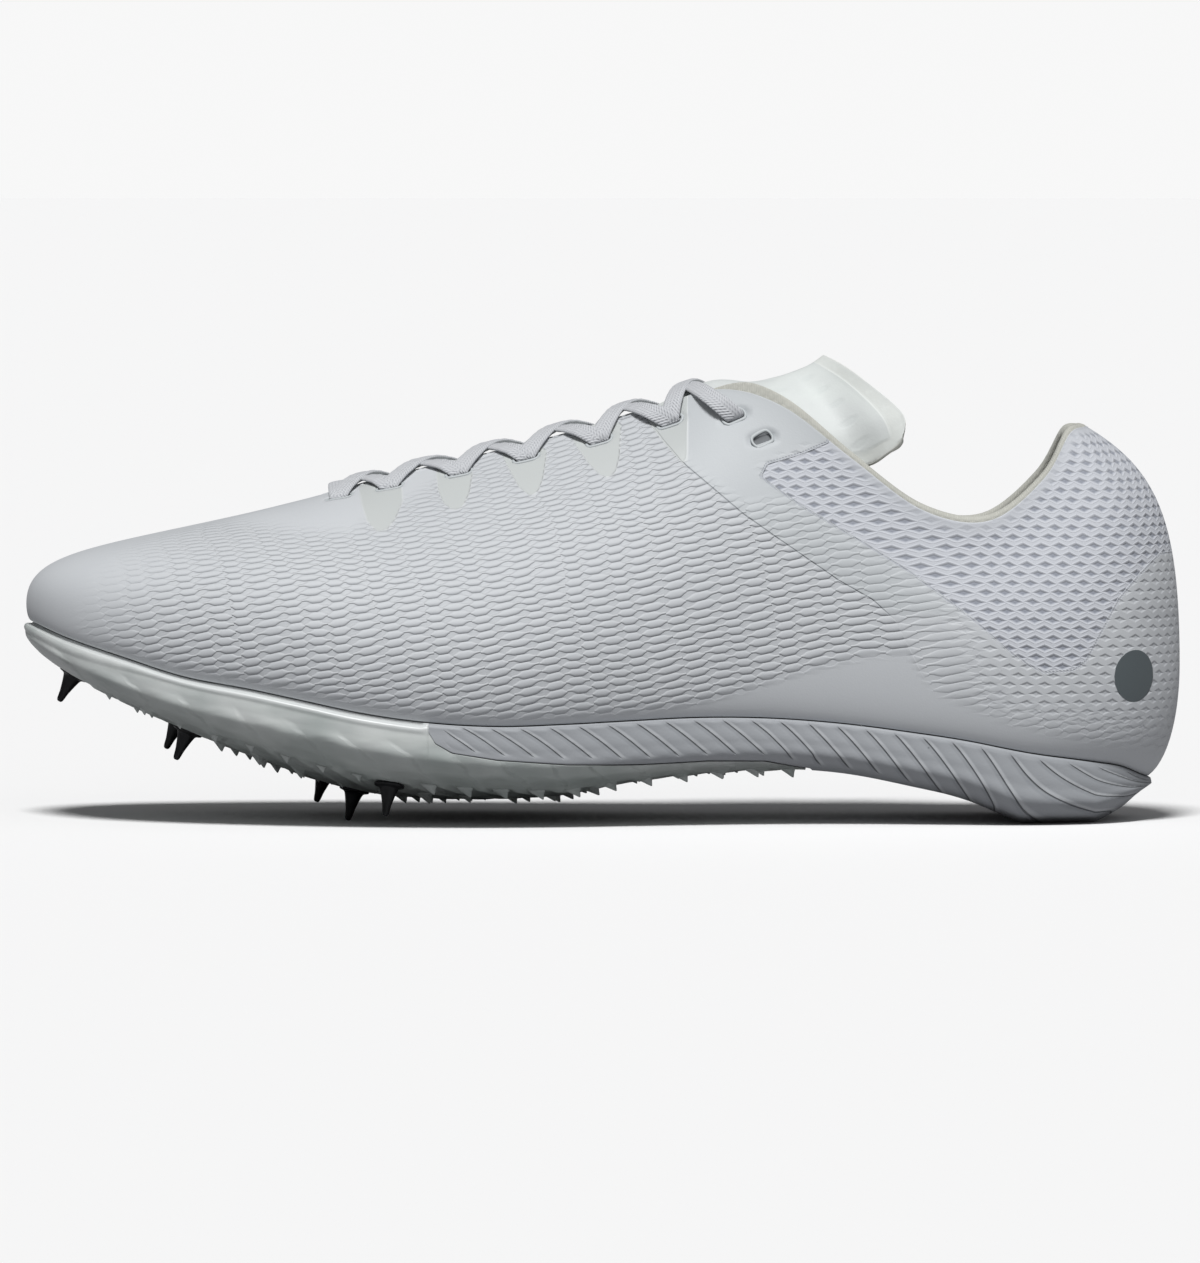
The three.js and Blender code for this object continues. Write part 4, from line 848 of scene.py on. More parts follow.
def sipeMaterial():
    g = Graph("foam")
    phase, fade, _ = g.parts(g.vectorAttribute("sipe"))
    f = phase.fract()
    # painted shade in each cut and in the dusk band on one side of it, painted highlight in the lit band on
    # the other side
    cut = (1 - (f - 0.5).size().step(0.008, 0.05)) * fade
    lit = (1 - (f - 0.60).size().step(0.02, 0.14)) * fade
    dusk = (1 - (f - 0.40).size().step(0.02, 0.16)) * fade
    grain = g.noise(1.6, 3.0) - 0.5
    cloud = g.noise(0.05, 2.0)
    speck = (1 - g.cells(0.16).step(0.035, 0.06)) * g.noise(0.35, 1.0).step(0.52, 0.62)
    base = g.blend(cloud * 0.5, tint(*sole["foam"]), tint(*sole["foamLow"]))
    base = g.layers(base, (lit * 0.4, sole["foamLit"]), (dusk * 0.3, sole["foamDusk"]),
                    (cut * 0.75, sole["foamCutShade"]), (speck * 0.8, sole["foamSpeck"]))
    height = grain * 0.05 - cut * 0.35 + lit * 0.06
    return g.finish({"Specular IOR Level": 0.4, "Sheen Weight": 0.05},
                    {"Base Color": base, "Roughness": 0.56 + grain * 0.12, "Normal": g.relief(height)})


def makeFoam():
    # side of the sole from its top edge to the parting, with slanting cuts between pieces like shingles
    start = float(walkAt(xAt(sole["foamFrom"])))
    tip = start + (lastRow - start) * np.linspace(0, 1, sole["foamTip"]) ** 2 * 0.045
    walks = np.concatenate([tip, np.linspace(tip[-1], lastRow, sole["foamStations"])[1:]])
    x = seatLine(walks)[0]
    toDown = np.where(shareAt(x) < sole["plateTo"] + 0.004, partDown(x), 1.0)

    def phaseOf(down):
        # the cuts lean the same way in the side view and sweep flatter towards the heel
        lean = sole["sipeRun"] * (1 + 1.6 * smooth(*sole["sipeSweep"], shareAt(x)))[:, None]
        back = lean * np.clip(down - 0.06, 0, 2) ** 0.9
        return (x[:, None] - xAt(sole["sipeFrom"]) - back) / sole["sipePitch"]

    def fadeOf(down):
        share = shareAt(x)[:, None]
        lower = 0.25 * smooth(*sole["sipeLower"], share)
        start, end = (edge + lower for edge in sole["sipeFoot"])
        return (smooth(*sole["sipeTop"], down) * (1 - smooth(start, end, down))
                * smooth(*sole["sipeStart"], share) * (1 - smooth(*sole["sipeEnd"], share)))

    def pillow(_, down):
        # down here is a share of the whole side; the foam's own cuts read it over the foam alone
        own = down / np.maximum(toDown[:, None], 0.2)
        phase = phaseOf(own) + 0.5
        saw = phase - np.floor(phase)
        hill = sole["pillow"] * np.sin(np.pi * saw) ** 0.6
        return fadeOf(own) * (hill - sole["pillowSink"] + sole["pillowLean"] * (saw - 0.5))

    points, down, side = soleLoft(walks, 0 * toDown, toDown, sole["foamSides"], sole["foamAcross"],
                                  pillow)
    own = np.clip(down / np.maximum(toDown[:, None], 0.2), 0, 1)
    field = np.stack([phaseOf(own), fadeOf(own) * side, 0 * own], -1)
    faces = gridFaces(len(walks), points.shape[1], False, True)
    thing = makePiece("foam_midsole", points, faces, sipeMaterial(), ["midsole"],
                      {"sipe": field.reshape(-1, 3)}, caps=[np.arange(points.shape[1])])


makeFoam()


pins = {
    # name, place along and place across, as shares of the length and of the ball width
    "places": [("pin_toe", 0.042, 0.07), ("pin_second_inner", 0.131, 0.20),
               ("pin_second_outer", 0.143, -0.12), ("pin_third_inner", 0.258, 0.27),
               ("pin_third_middle", 0.286, -0.07), ("pin_third_outer", 0.318, -0.36)],
    # profile is radius and depth under the plate, point is radius and how far short of the tip
    "profile": [(0.01, -1.2), (1.5, -1.2), (1.6, 0.1), (3.2, 0.1), (3.6, 0.25), (3.75, 0.5), (3.65, 0.8),
                (3.25, 0.98), (2.7, 1.12), (2.35, 1.35), (2.12, 1.8), (1.86, 2.6), (1.6, 3.5), (1.32, 4.6),
                (1.08, 5.6)],
    "point": [(0.86, 0.9), (0.7, 0.35), (0.5, 0.1), (0.3, 0), (0.01, 0)],
    "notches": 6, "notchDepth": 0.07, "notchFrom": (3.0, 3.4),
    "tip": 0.45, "sides": 28, "rows": 58, "black": (24, 25, 27), "edge": (62, 64, 68),
}


def pinPlace(at, side):
    x, y = np.array(xAt(at)), np.array(shoe["ballWidth"] * side)
    dx = (underside(x + 1, y) - underside(x - 1, y)) / 2
    dy = (underside(x, y + 1) - underside(x, y - 1)) / 2
    return np.array([x, y, underside(x, y)]), unit(np.array([dx, dy, -1.0]))


def plateMaterial():
    g = Graph("cloudy_plate")
    depth = g.attribute("depth")
    along, _, high = g.parts(g.place())
    facets = g.cells(0.11)
    cloud = g.noise(0.035, 3.0)
    swirl = g.noise(0.12, 2.0, stretch=(0.5, 1.0, 1.6))
    # long soft facets that lean back down the side, sharper on their lower edge
    slant = ((along + high * 0.9 + swirl * 7.0) / 10.5).fract()
    facet = slant.step(0.0, 0.75) * (1 - slant).step(0.0, 0.18) * depth.step(0.35, 0.75)
    base = g.blend(cloud.step(0.35, 0.7), tint(*sole["plate"]), tint(*sole["plateDeep"]))
    base = g.blend(depth.step(0.05, 0.2), tint(*sole["plateLip"]), base)
    base = g.layers(base, (depth.step(0.5, 1.0) * 0.5, sole["plateTread"]),
                    ((swirl - 0.5).most(0.0) * 1.2, sole["plateSwirl"]))
    height = facets * 0.35 * depth.step(0.55, 0.8) + swirl * 0.25 + facet * 0.7
    return g.finish({"Specular IOR Level": 0.5, "Subsurface Weight": 0.25, "Subsurface Scale": 0.006,
                     "Subsurface Radius": (1.0, 1.0, 1.0), "Coat Roughness": 0.2, "Coat Weight": 0.2},
                    {"Base Color": base, "Roughness": 0.34 + cloud * 0.18, "Normal": g.relief(height)})


def between(name, x):
    # 0 to 1 over a stretch of the shoe that the dictionary gives as two shares of its length
    start, end = sole[name]
    return smooth(xAt(start), xAt(end), x)


def treadRelief(x, y):
    # ribs that fan out from the middle line, and a raised round seat under each pin, in millimetres down
    off = y - sole["treadMiddle"]
    wave = np.sin((x + sole["treadFan"] * np.abs(off)) * 2 * np.pi / sole["treadPitch"])
    ribs = np.maximum(0, wave) ** 2 * sole["treadDepth"]
    half, depth = sole["treadGroove"]
    groove = bump(off, 0, half) * depth
    lift = (ribs - groove) * between("treadStart", x) * (1 - between("treadEnd", x))
    for _, at, side in pins["places"]:
        away = np.hypot(x - xAt(at), y - shoe["ballWidth"] * side)
        near = 1 - smooth(*sole["seatRound"], away)
        seat = sole["seatUp"] * near - sole["seatDown"] * (1 - smooth(*sole["seatBore"], away))
        lift = lift * (1 - near) + np.maximum(seat, -0.35) * near
    return lift


plate = plateMaterial()


def makePlate():
    # side and bottom of the sole under the parting; a round lip runs along the top of its side
    # it stops where foam and bottom have closed to a thin edge
    back = np.linspace(xAt(0.6), xAt(sole["plateTo"]), 400)
    stillThick = partDown(back, shoe["gap"]) < 0.97
    end = float(walkAt(back[stillThick].max()))
    part = float(walkAt(xAt(sole["foamFrom"])))
    count = sole["plateStations"]
    walks = np.concatenate([np.linspace(0, 1.5, sole["plateToe"]), np.linspace(1.5, part, count)[1:],
                            part + np.linspace(0.001, 0.12, 14), np.linspace(part + 0.12, end, count)[1:]])
    x = seatLine(walks)[0]
    fromDown = np.where(walks <= part, 0.0, partDown(x, shoe["gap"]))

    def lip(x0, down):
        # the side is low at the toe, so there the lip takes a larger share of it
        front = 1 - between("lipEnd", x0)
        low = 1 - between("lipLow", x0)
        groove = 1 - smooth(0.045 + 0.03 * low, 0.085 + 0.07 * low, down)
        rounded = sole["lip"] * bump(down, 0.14 + 0.14 * low, 0.09 + 0.12 * low)
        return front * (rounded - sole["lipGroove"] * groove)

    points, down, _ = soleLoft(walks, fromDown, 1 + 0 * x, sole["plateSides"], sole["plateAcross"], lip,
                               treadRelief)
    n = points.shape[1]
    faces = gridFaces(len(walks), n, False, True)
    caps = [(len(walks) - 1) * n + np.arange(n)[::-1]]
    makePiece("spike_plate_shell", points, faces, plate, ["spike_plate"],
              {"depth": down.reshape(-1)}, caps=caps)


makePlate()


def makeTeeth():
    # small leaning pyramids with hollow flanks along both edges of the tread
    spots = []
    for row, (side, inset) in enumerate(sole["toothRows"]):
        start = xAt(sole["toothFrom"]) + (0 if row < 2 else sole["toothShift"] * row)
        pitch = sole["toothPitch"] * (1 if row < 2 else sole["toothSpread"])
        for x in np.arange(start, xAt(sole["toothTo"]), pitch):
            walk = float(walkAt(x))
            line = seatLine(walk if side < 0 else period - walk)
            y = float(line[1]) - side * (shoe["ballWidth"] * float(soleColumn(5, np.array(x))) + inset)
            if row > 1:
                y = inset + sole["toothSway"] * math.sin(x * 0.9)
            clear = min(math.hypot(xAt(at) - x, shoe["ballWidth"] * s - y) for _, at, s in pins["places"])
            if clear > sole["toothClear"][0 if row < 2 else 1]:
                edgeSize = 0.62 if x < xAt(0.34) else 1.0
                spots.append((x, y, edgeSize if row < 2 else 0.8 + 0.3 * math.sin(x * 1.7 + row)))
    spots = np.array(spots)
    x, y, scale = spots[:, 0], spots[:, 1], spots[:, 2:]
    foot = np.stack([x, y, underside(x, y)], -1)
    slope = (underside(x + 1, y) - underside(x - 1, y)) / 2
    axis = unit(np.stack([slope, 0 * x, -1 + 0 * x], -1))
    run = unit(np.stack([1 + 0 * x, 0 * x, slope], -1))
    across = np.array([0, 1.0, 0])
    rings = []
    for height, size in sole["toothRings"]:
        for a, b in sole["toothCorners"]:
            lean = a * size + 0.7 * max(height, 0)
            rings.append(foot + scale * (axis * height * sole["toothHeight"] + run * lean * sole["toothBase"]
                                         + across * b * size * sole["toothBase"]))
    points = np.stack(rings, 1)
    levels, sides = len(sole["toothRings"]), len(sole["toothCorners"])
    tip = (levels - 1) * sides + np.array([[0, 1, 2, 3], [0, 3, 4, 7], [4, 5, 6, 7]])
    base = [[0, 3, 2, 1], [0, 7, 4, 3], [4, 7, 6, 5]]
    one = np.concatenate([gridFaces(levels, sides, False, True), tip, base])
    faces = repeated(one, len(x), levels * sides)
    depth = np.full(len(x) * levels * sides, 0.8)
    makePiece("plate_teeth", points, faces, plate, (), {"depth": depth})


makeTeeth()


def pinMaterial():
    g = Graph("black_pin")
    scratch = g.noise(0.9, 3.0, stretch=(1, 1, 0.2))
    base = g.blend(scratch.step(0.55, 0.8) * 0.5, tint(*pins["black"]), tint(*pins["edge"]))
    return g.finish({"Specular IOR Level": 0.5, "Coat Roughness": 0.3},
                    {"Base Color": base, "Roughness": 0.30 + scratch * 0.25, "Metallic": 0.35 + scratch * 0.2,
                     "Normal": g.relief(scratch * 0.06)})


def makePins():
    # each pin is one profile turned about its own axis; the flange has six soft notches for the key
    black = pinMaterial()
    # the lowest pin's length, so that its tip stands on the floor
    foot, axis = pinPlace(*pins["places"][4][1:])
    reach = (foot[2] - pins["tip"] * math.hypot(axis[0], axis[1])) / -axis[2]
    point = [(radius, reach - short) for radius, short in pins["point"]]
    profile = np.array(pins["profile"] + point)
    at = np.linspace(0, len(profile) - 1, pins["rows"])
    fine, down = (hermite(np.arange(len(profile)), profile[:, k], at) for k in (0, 1))
    down = np.minimum(down, reach)
    turn = np.arange(pins["sides"] * 2) * math.pi / pins["sides"]
    notch = 1 - pins["notchDepth"] * np.maximum(0, np.cos(turn * pins["notches"])) ** 4
    for name, at, side in pins["places"]:
        foot, axis = pinPlace(at, side)
        first = unit(np.cross(axis, [0, 1.0, 0]))
        second = np.cross(axis, first)
        ring = np.cos(turn)[:, None] * first + np.sin(turn)[:, None] * second
        flat = smooth(*pins["notchFrom"], fine)[:, None] * (notch - 1)[None] + 1
        points = foot + axis * down[:, None, None] + ring[None] * (fine[:, None] * flat)[..., None]
        n = len(turn)
        makePiece(name + "_cone", points, gridFaces(len(fine), n, False, True), black, [name],
                  caps=[np.arange(n)[::-1], (len(fine) - 1) * n + np.arange(n)])


makePins()


tongue = {
    "rows": [4.3, 5.3, 6.3, 7.2, 8.1, 9.0, 9.9, 10.8, 11.6, 12.4],
    "edge": [0.90, 0.88, 0.87, 0.86, 0.85, 0.84, 0.84, 0.85, 0.88, 0.91],
    "crown": {8: (0.628, 1.020), 9: (0.648, 1.030)},
    "free": [
        [(0.722, 0.199, 0.832), (0.708, 0.180, 0.915), (0.687, 0.112, 0.990), (0.664, 0.0, 1.043)],
        [(0.745, 0.226, 0.864), (0.733, 0.204, 0.938), (0.706, 0.124, 1.014), (0.679, 0.0, 1.060)],
        [(0.757, 0.244, 0.895), (0.757, 0.222, 0.952), (0.716, 0.134, 1.044), (0.691, 0.0, 1.082)],
    ],
    "thickness": 1.6, "clear": 0.6, "along": 240, "across": 72,
    "middle": 0.004, "shoulder": 0.985, "arch": 0.32,
    "toeRows": [3.2, 2, 1, 0, -1, -2, -3.2], "toeEdge": 0.915, "toeRise": 0.03,
    "film": (205, 209, 208), "foam": (214, 214, 206), "cloud": (212, 218, 214), "dot": (184, 192, 192),
    "border": (216, 219, 215),
}


def inside(u, t, more):
    return skin(u, t) - skinNormal(u, t) * (wallAt(u, t) + more)[..., None]


def tongueRows():
    # seven points across at each row: along the inside of the upper, over the throat on a low arch, and
    # beyond the collar the free rows of the dictionary, mirrored about the middle line
    clear = tongue["clear"]
    rows = []
    us = np.array([row % period for row in tongue["toeRows"]])
    ts = tongue["toeEdge"] + tongue["toeRise"] * (1 - np.abs(np.arange(7) - 3) / 3)
    rows.append(inside(us, ts, clear))
    for k, (row, edge) in enumerate(zip(tongue["rows"], tongue["edge"])):
        us = np.array([row, period - row])
        rims = inside(us, np.full(2, edge), clear)
        shoulders = inside(us, np.full(2, tongue["shoulder"]), clear)
        slope = math.tan(math.radians(float(around(10, 10, row))))
        rise = tongue["arch"] * slope * np.linalg.norm(shoulders[0] - shoulders[1]) * 0.5
        middle = shoulders.mean(0) + np.array([0, 0, rise])
        if k in tongue["crown"]:
            at, up = tongue["crown"][k]
            middle[0], middle[2] = xAt(at), shoe["instepHeight"] * up
        bow = np.array([0, 0, 0.25 * (middle[2] - shoulders[0][2])])
        halfway = [(s + middle) / 2 + bow for s in shoulders]
        rows.append(np.array([rims[0], shoulders[0], halfway[0], middle, halfway[1], shoulders[1], rims[1]]))
    for row in tongue["free"]:
        whole = [(a, -s, z) for a, s, z in row] + row[2::-1]
        rows.append(np.array([(xAt(a), shoe["ballWidth"] * (s + tongue["middle"]), shoe["instepHeight"] * z)
                              for a, s, z in whole]))
    return np.array(rows)


def resample(rows, count, axis):
    # Catmull-Rom along one axis of an array of points
    rows = np.moveaxis(rows, axis, 0)
    n = len(rows) - 1
    t = np.linspace(0, n, count)
    i = np.minimum(t.astype(int), n - 1)
    f = (t - i).reshape(-1, *([1] * (rows.ndim - 1)))
    a, b, c, d = (rows[np.clip(i + k, 0, n)] for k in (-1, 0, 1, 2))
    return np.moveaxis(catmull(a, b, c, d, f), 0, axis)


def sheetLoops(sheet, thickness):
    # closed loops across a sheet: over its face, round one edge, back under it, round the other
    ahead = np.gradient(sheet, axis=0)
    across = np.gradient(sheet, axis=1)
    normal = unit(np.cross(ahead, across))
    half = thickness[:, :, None] / 2
    middle = sheet - normal * half
    out = unit(across)

    def bend(edge, way, angles):
        # half round of one edge, at angles from the sheet
        arcs = np.radians(angles)[None, :, None]
        reach = normal[:, edge] * np.sin(arcs) + way * out[:, edge] * np.cos(arcs)
        return middle[:, edge] + half[:, edge] * reach

    angles = [60, 30, 0, -30, -60]
    return np.concatenate([middle + normal * half, bend(slice(-1, None), 1, angles),
                           (middle - normal * half)[:, ::-1], bend(slice(0, 1), -1, angles[::-1])], 1)


def tongueMaterial():
    g = Graph("tongue_film")
    s, w, face = g.parts(g.vectorAttribute("place"))
    border = g.attribute("border")
    cloud = g.noise(0.06, 3.0)
    dotU = ((s / 7.5).fract() - 0.5) ** 2
    dotV = ((w / 6.0 + (s / 7.5).floor() * 0.5).fract() - 0.5) ** 2
    dot = (1 - ((dotU + dotV * 1.8) ** 0.5).step(0.12, 0.30)) * face
    base = g.blend(face, tint(*tongue["foam"]), tint(*tongue["film"]))
    base = g.layers(base, (cloud.step(0.4, 0.7) * 0.45, tongue["cloud"]), (dot * 0.12, tongue["dot"]),
                    (border * 0.7, tongue["border"]))
    height = cloud * 0.2 - dot * 0.06 + g.noise(1.4, 2.0) * 0.03 - border * 0.12
    rough = 0.74 - face * 0.18 + cloud * 0.08
    return g.finish({"Specular IOR Level": 0.5, "Sheen Weight": 0.05, "Subsurface Weight": 0.08,
                     "Subsurface Scale": 0.003, "Subsurface Radius": (1.0, 1.0, 1.0)},
                    {"Base Color": base, "Roughness": rough, "Normal": g.relief(height)})


def makeTongue():
    # the face is a grid of smooth rows; its thickness has a bead along the free edges
    sheet = resample(resample(tongueRows(), tongue["along"], 0), tongue["across"], 1)
    n, m = sheet.shape[:2]
    length = lengthAlong(sheet[:, m // 2])
    toEnd = (length[-1] - length)[:, None]
    steps = np.linalg.norm(np.diff(sheet, axis=1), axis=-1)
    across = np.concatenate([np.zeros((n, 1)), np.cumsum(steps, axis=1)], 1)
    toSide = np.minimum(across, across[:, -1:] - across)
    free = smooth(0.78, 0.86, np.arange(n) / n)[:, None]
    bead = np.maximum(bump(toEnd, 2.0, 2.0), bump(toSide, 2.2, 2.4) * free)
    thick = tongue["thickness"] * (0.9 + 0.35 * bead) * np.sqrt(np.clip(toEnd / 0.8, 0.02, 1))
    points = sheetLoops(sheet, thick)
    total = points.shape[1]
    s = np.broadcast_to(length[:, None], (n, total))
    centred, bent = across - across[:, -1:] / 2, np.zeros((n, (total - 2 * m) // 2))
    w = np.concatenate([centred, bent, centred[:, ::-1], bent], 1)
    face = np.zeros((n, total))
    face[:, :m] = 1
    rim = np.zeros((n, total))
    rim[:, :m] = np.maximum(1 - smooth(2.6, 3.0, toEnd), (1 - smooth(2.4, 2.8, toSide)) * free)
    fields = {"place": np.stack([s, w, face], -1).reshape(-1, 3), "border": rim.reshape(-1)}
    caps = [np.arange(total)[::-1], (n - 1) * total + np.arange(total)]
    thing = makePiece("padded_tongue", points, gridFaces(n, total, False, True), tongueMaterial(),
                      ["tongue"], fields, caps=caps)


makeTongue()


def laceMaterial():
    g = Graph("knit_lace")
    s, w, _ = g.parts(g.vectorAttribute("place"))
    ridge = (((s + w.size() * 0.9) / 0.85).fract() - 0.5).size() * 2
    rib = ((w / 0.8).fract() - 0.5).size() * 2
    weave = ridge * (1 - rib * 0.5)
    # painted shade: the valley colour darkens the sunken parts of the weave
    base = g.blend(weave * 0.5, tint(*laces["white"]), tint(*laces["valleyShade"]))
    return g.finish({"Sheen Weight": 0.15, "Specular IOR Level": 0.3},
                    {"Base Color": base, "Roughness": 0.8 - weave * 0.1, "Normal": g.relief(weave * -0.22)})


def strand(start, end, lift):
    # a flat band: up out of one slot, over the throat along a cubic, and down into the other
    first, final = (slot["centre"] + slot["normal"] * laces["float"] for slot in (start, end))
    chord = final - first
    span = np.linalg.norm(chord)

    def lead(slot, turn):
        flat = chord - slot["normal"] * (chord @ slot["normal"])
        return unit(flat) * laces["lead"] * turn * span + slot["normal"] * slot["arch"] * span

    curve = [first, first + lead(start, 1), final + lead(end, -1), final]
    ts = np.array([0.10, 0.22, 0.36, 0.5, 0.64, 0.78, 0.90])
    body = bezier(curve, ts[:, None])
    body[:, 2] += lift * np.sin(np.pi * ts) ** 2
    way = unit(chord)

    def dive(slot, turn):
        # two points through the slot, from under the upper to just over it
        return [slot["centre"] + slot["normal"] * up - turn * way * back for up, back in laces["dive"]]

    path = resample(np.concatenate([dive(start, 1), body, dive(end, -1)[::-1]]), laces["rows"], 0)
    tangent = unit(np.gradient(path, axis=0))
    f = np.linspace(0, 1, laces["rows"])[:, None]
    wide = start["run"] * (1 - f) + end["run"] * f
    wide = unit(wide - tangent * (wide * tangent).sum(-1, keepdims=True))
    high = np.cross(wide, tangent)
    length = lengthAlong(path)
    pinch = 1 - laces["pinch"] * (1 - smooth(0.0, 0.12, f)) - laces["pinch"] * smooth(0.88, 1.0, f)
    turn = np.linspace(0, 2 * math.pi, laces["sides"], endpoint=False)[None]
    a = np.sign(np.cos(turn)) * np.abs(np.cos(turn)) ** 0.55 * laces["width"] / 2 * pinch
    b = np.sign(np.sin(turn)) * np.abs(np.sin(turn)) ** 0.75 * laces["thickness"] / 2
    b = b * (1 + laces["ripple"] * np.sin(length[:, None] * 2.1))
    points = path[:, None] + wide[:, None] * a[..., None] + high[:, None] * b[..., None]
    place = np.stack([np.broadcast_to(length[:, None], a.shape), a, 0 * a], -1)
    return points, place


def makeLaces():
    count = len(laces["slotAt"])
    outer, inner = slots[:count], slots[count:]
    pieces = [strand(outer[0], inner[0], 0.0)]
    for k in range(count - 2):
        pieces.append(strand(outer[k], inner[k + 1], 0.5))
        pieces.append(strand(inner[k], outer[k + 1], -0.45))
    points = np.array([p for p, _ in pieces])
    place = np.array([q for _, q in pieces])
    rows, sides = laces["rows"], laces["sides"]
    one = gridFaces(rows, sides, False, True)
    faces = repeated(one, len(pieces), rows * sides)
    caps = []
    for k in range(len(pieces)):
        first = k * rows * sides
        caps += [first + np.arange(sides)[::-1], first + (rows - 1) * sides + np.arange(sides)]
    makePiece("flat_laces", points, faces, laceMaterial(), ["lace"], {"place": place.reshape(-1, 3)},
              caps=caps)


makeLaces()


# each ring is its reach out of the slot's outline and its height over the skin
eyelets = {
    "rings": [(0.7, -1.4), (0.75, -0.12), (0.6, 0.0), (0.45, 0.03), (0.15, 0.0), (0.02, -0.15), (0.0, -0.4),
              (-0.02, -0.9), (-0.9, -0.93), (-1.08, -0.95)],
    "sides": 40, "deep": (112, 115, 118),
}


def makeEyelets():
    # a thin film ring round each slot, and the slot's own walls and floor, laid on the skin
    half = (laces["slotLength"] - laces["slotWidth"]) / 2
    turn = np.linspace(0, 2 * math.pi, eyelets["sides"], endpoint=False)
    rings = eyelets["rings"]
    parts = []
    for slot in slots:
        for reach, height in rings:
            r = laces["slotWidth"] / 2 + reach
            a = np.sign(np.cos(turn)) * half * np.minimum(1, np.abs(np.cos(turn)) * 3) + r * np.cos(turn)
            b = r * np.sin(turn)
            c, d = math.cos(slot["turn"]), math.sin(slot["turn"])
            u = slot["u"] + (a * c - b * d) / slot["walkPace"] * (1 if slot["side"] < 0 else -1)
            t = slot["t"] + (a * d + b * c) / slot["pace"]
            parts.append(skin(u, np.minimum(t, 0.999)) + skinNormal(u, np.minimum(t, 0.999)) * height)
    n, m = len(rings), len(turn)
    points = np.array(parts)
    one = gridFaces(n, m, False, True)
    faces = repeated(one, len(slots), n * m)
    caps = [(k * n + row) * m + np.arange(m) for k in range(len(slots)) for row in (0, n - 1)]
    # painted shade: the rings down inside the slot take a dark colour for the shade in the slot
    shadedRing = np.array([height < -0.3 for _ in slots for _, height in rings], float)
    field = np.repeat(shadedRing, m)
    g = Graph("eyelet_film")
    deep = g.attribute("deep")
    base = g.blend(deep, tint(*knit["film"]), tint(*eyelets["deep"]))
    made = g.finish({"Specular IOR Level": 0.5}, {"Base Color": base, "Roughness": 0.5 + deep * 0.3,
                                                   "Normal": g.relief(g.noise(1.5, 2.0) * 0.03)})
    makePiece("eyelet_rings", points, faces, made, (), {"deep": field}, caps=caps)


makeEyelets()


insole = {
    # reach and height of the soft edge, level by level
    "levels": [(0.0, 0.0), (0.0, 1.8), (-0.25, 2.7), (-0.8, 3.2)], "clear": 0.5, "dip": 0.9,
    "stations": 200, "across": 40,
    "cloth": (216, 216, 208), "shade": (186, 187, 180), "cloud": (198, 199, 193), "weave": 1.1,
}


def makeInsole():
    # a slab inside the upper: a soft edge, and a top that dips a little along the middle
    walks = np.linspace(0, lastRow, insole["stations"])
    inset = -(shoe["wall"] + insole["clear"])

    def edge(u):
        x, y, ox, oy = seatLine(u)
        return [np.stack([x + ox * (inset + o), y + oy * (inset + o), seatAt(x + ox * inset) + h], -1)
                for o, h in insole["levels"]]

    outer, inner = edge(walks), edge(period - walks)
    r = (np.arange(1, insole["across"]) / insole["across"])[None, :, None]
    top = outer[-1][:, None] * (1 - r) + inner[-1][:, None] * r
    off = (r[..., 0] - 0.5) * 2
    broad = smooth(0, 20, np.abs(outer[-1][:, None, 1] - inner[-1][:, None, 1]))
    top[..., 2] = seatAt(top[..., 0]) + insole["levels"][-1][1] - insole["dip"] * (1 - off ** 4) * broad
    low = inner[0][:, None] * (1 - r[:, ::4]) + outer[0][:, None] * r[:, ::4]
    low[..., 2] = seatAt(low[..., 0])
    points = np.concatenate([np.stack(outer, 1), top, np.stack(inner, 1)[:, ::-1], low], 1)
    g = Graph("insole_cloth")
    px, py, _ = g.parts(g.place())
    u = (((px + py) / insole["weave"]).fract() - 0.5).size() * 2
    v = (((px - py) / insole["weave"]).fract() - 0.5).size() * 2
    weave = u * v
    cloud = g.noise(0.04, 3.0)
    base = g.layers(tint(*insole["cloth"]), (weave * 0.5, insole["shade"]),
                    (cloud.step(0.45, 0.75) * 0.3, insole["cloud"]))
    made = g.finish({"Sheen Weight": 0.2, "Specular IOR Level": 0.3},
                    {"Base Color": base, "Roughness": 0.88, "Normal": g.relief(weave * 0.15 + cloud * 0.3)})
    faces = gridFaces(len(walks), points.shape[1], False, True)
    thing = makePiece("cloth_insole", points, faces, made, ["insole"])


makeInsole()


studio = {
    "paper": 0.935, "floor": (238, 238, 238), "bounce": (160, 160, 162), "ambient": 0.12,
    "sky": (1, 1, 1.02, 1), "floorReach": 60.0,
    # each light: strength, degrees to the right of the camera, degrees up, spread
    "lights": {"key": (3.35, -6, 60, 15), "side": (0.30, 20, 20, 60)},
}


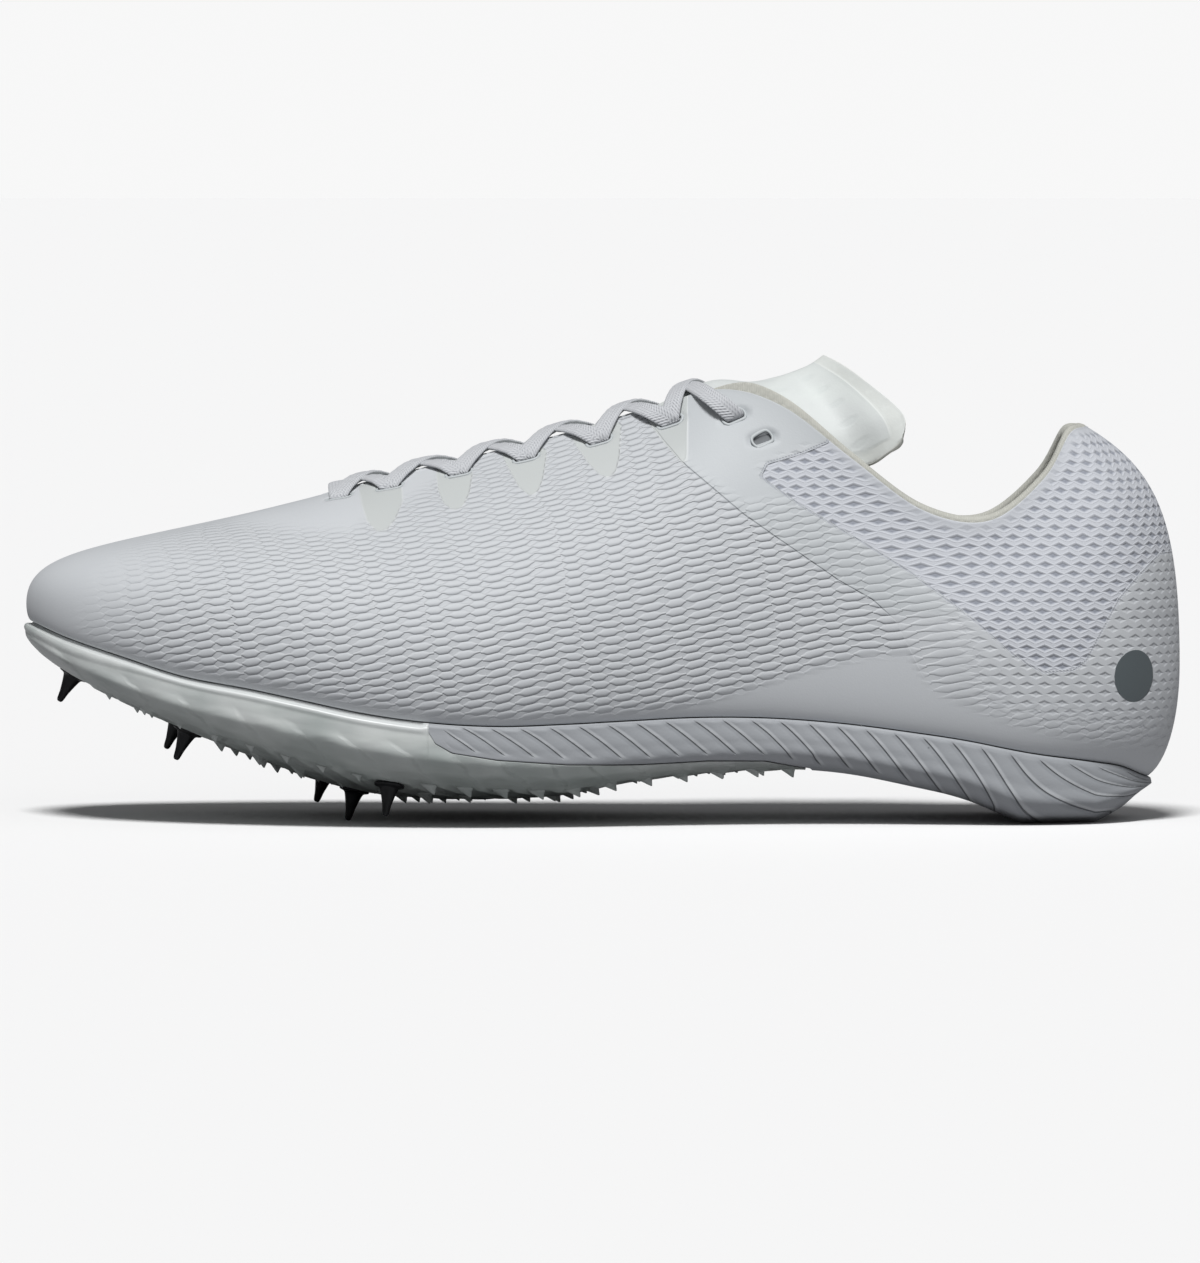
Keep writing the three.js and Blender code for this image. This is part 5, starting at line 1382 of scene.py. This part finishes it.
def makeStudio():
    mesh = bpy.data.meshes.new("floor")
    far = studio["floorReach"]
    mesh.from_pydata([(-far, -far, 0), (far, -far, 0), (far, far, 0), (-far, far, 0)], [], [(0, 1, 2, 3)])
    floor = bpy.data.objects.new("floor", mesh)
    bpy.context.scene.collection.objects.link(floor)
    g = Graph("pale_floor")
    shader = [g.node("ShaderNodeBsdfDiffuse", {}, {"Color": tint(*studio[key])}).outputs[0]
              for key in ("bounce", "floor")]
    seen = g.node("ShaderNodeLightPath").outputs["Is Camera Ray"]
    pick = g.node("ShaderNodeMixShader", {}, {0: seen, 1: shader[0], 2: shader[1]})
    g.node("ShaderNodeOutputMaterial", {}, {"Surface": pick.outputs[0]})
    mesh.materials.append(g.material)
    world = bpy.data.worlds.new("studio")
    world.use_nodes = True
    tree = world.node_tree
    tree.nodes.clear()
    shown = tree.nodes.new("ShaderNodeBackground")
    shown.inputs[0].default_value = (studio["paper"],) * 3 + (1,)
    cast = tree.nodes.new("ShaderNodeBackground")
    cast.inputs[0].default_value = studio["sky"]
    cast.inputs[1].default_value = studio["ambient"]
    rays = tree.nodes.new("ShaderNodeLightPath")
    pick = tree.nodes.new("ShaderNodeMixShader")
    out = tree.nodes.new("ShaderNodeOutputWorld")
    tree.links.new(rays.outputs["Is Camera Ray"], pick.inputs[0])
    tree.links.new(cast.outputs[0], pick.inputs[1])
    tree.links.new(shown.outputs[0], pick.inputs[2])
    tree.links.new(pick.outputs[0], out.inputs[0])
    bpy.context.scene.world = world
    for name, (power, azimuth, height, spread) in studio["lights"].items():
        data = bpy.data.lights.new(name, "SUN")
        data.energy = power
        data.angle = math.radians(spread)
        light = bpy.data.objects.new(name, data)
        a, e = math.radians(azimuth), math.radians(height)
        back = Vector((math.sin(a) * math.cos(e), -math.cos(a) * math.cos(e), math.sin(e)))
        light.rotation_mode = "QUATERNION"
        light.rotation_quaternion = (-back).to_track_quat("-Z", "Y")
        bpy.context.scene.collection.objects.link(light)
    bpy.context.scene.view_settings.view_transform = "Standard"


makeStudio()

print("all pieces made")
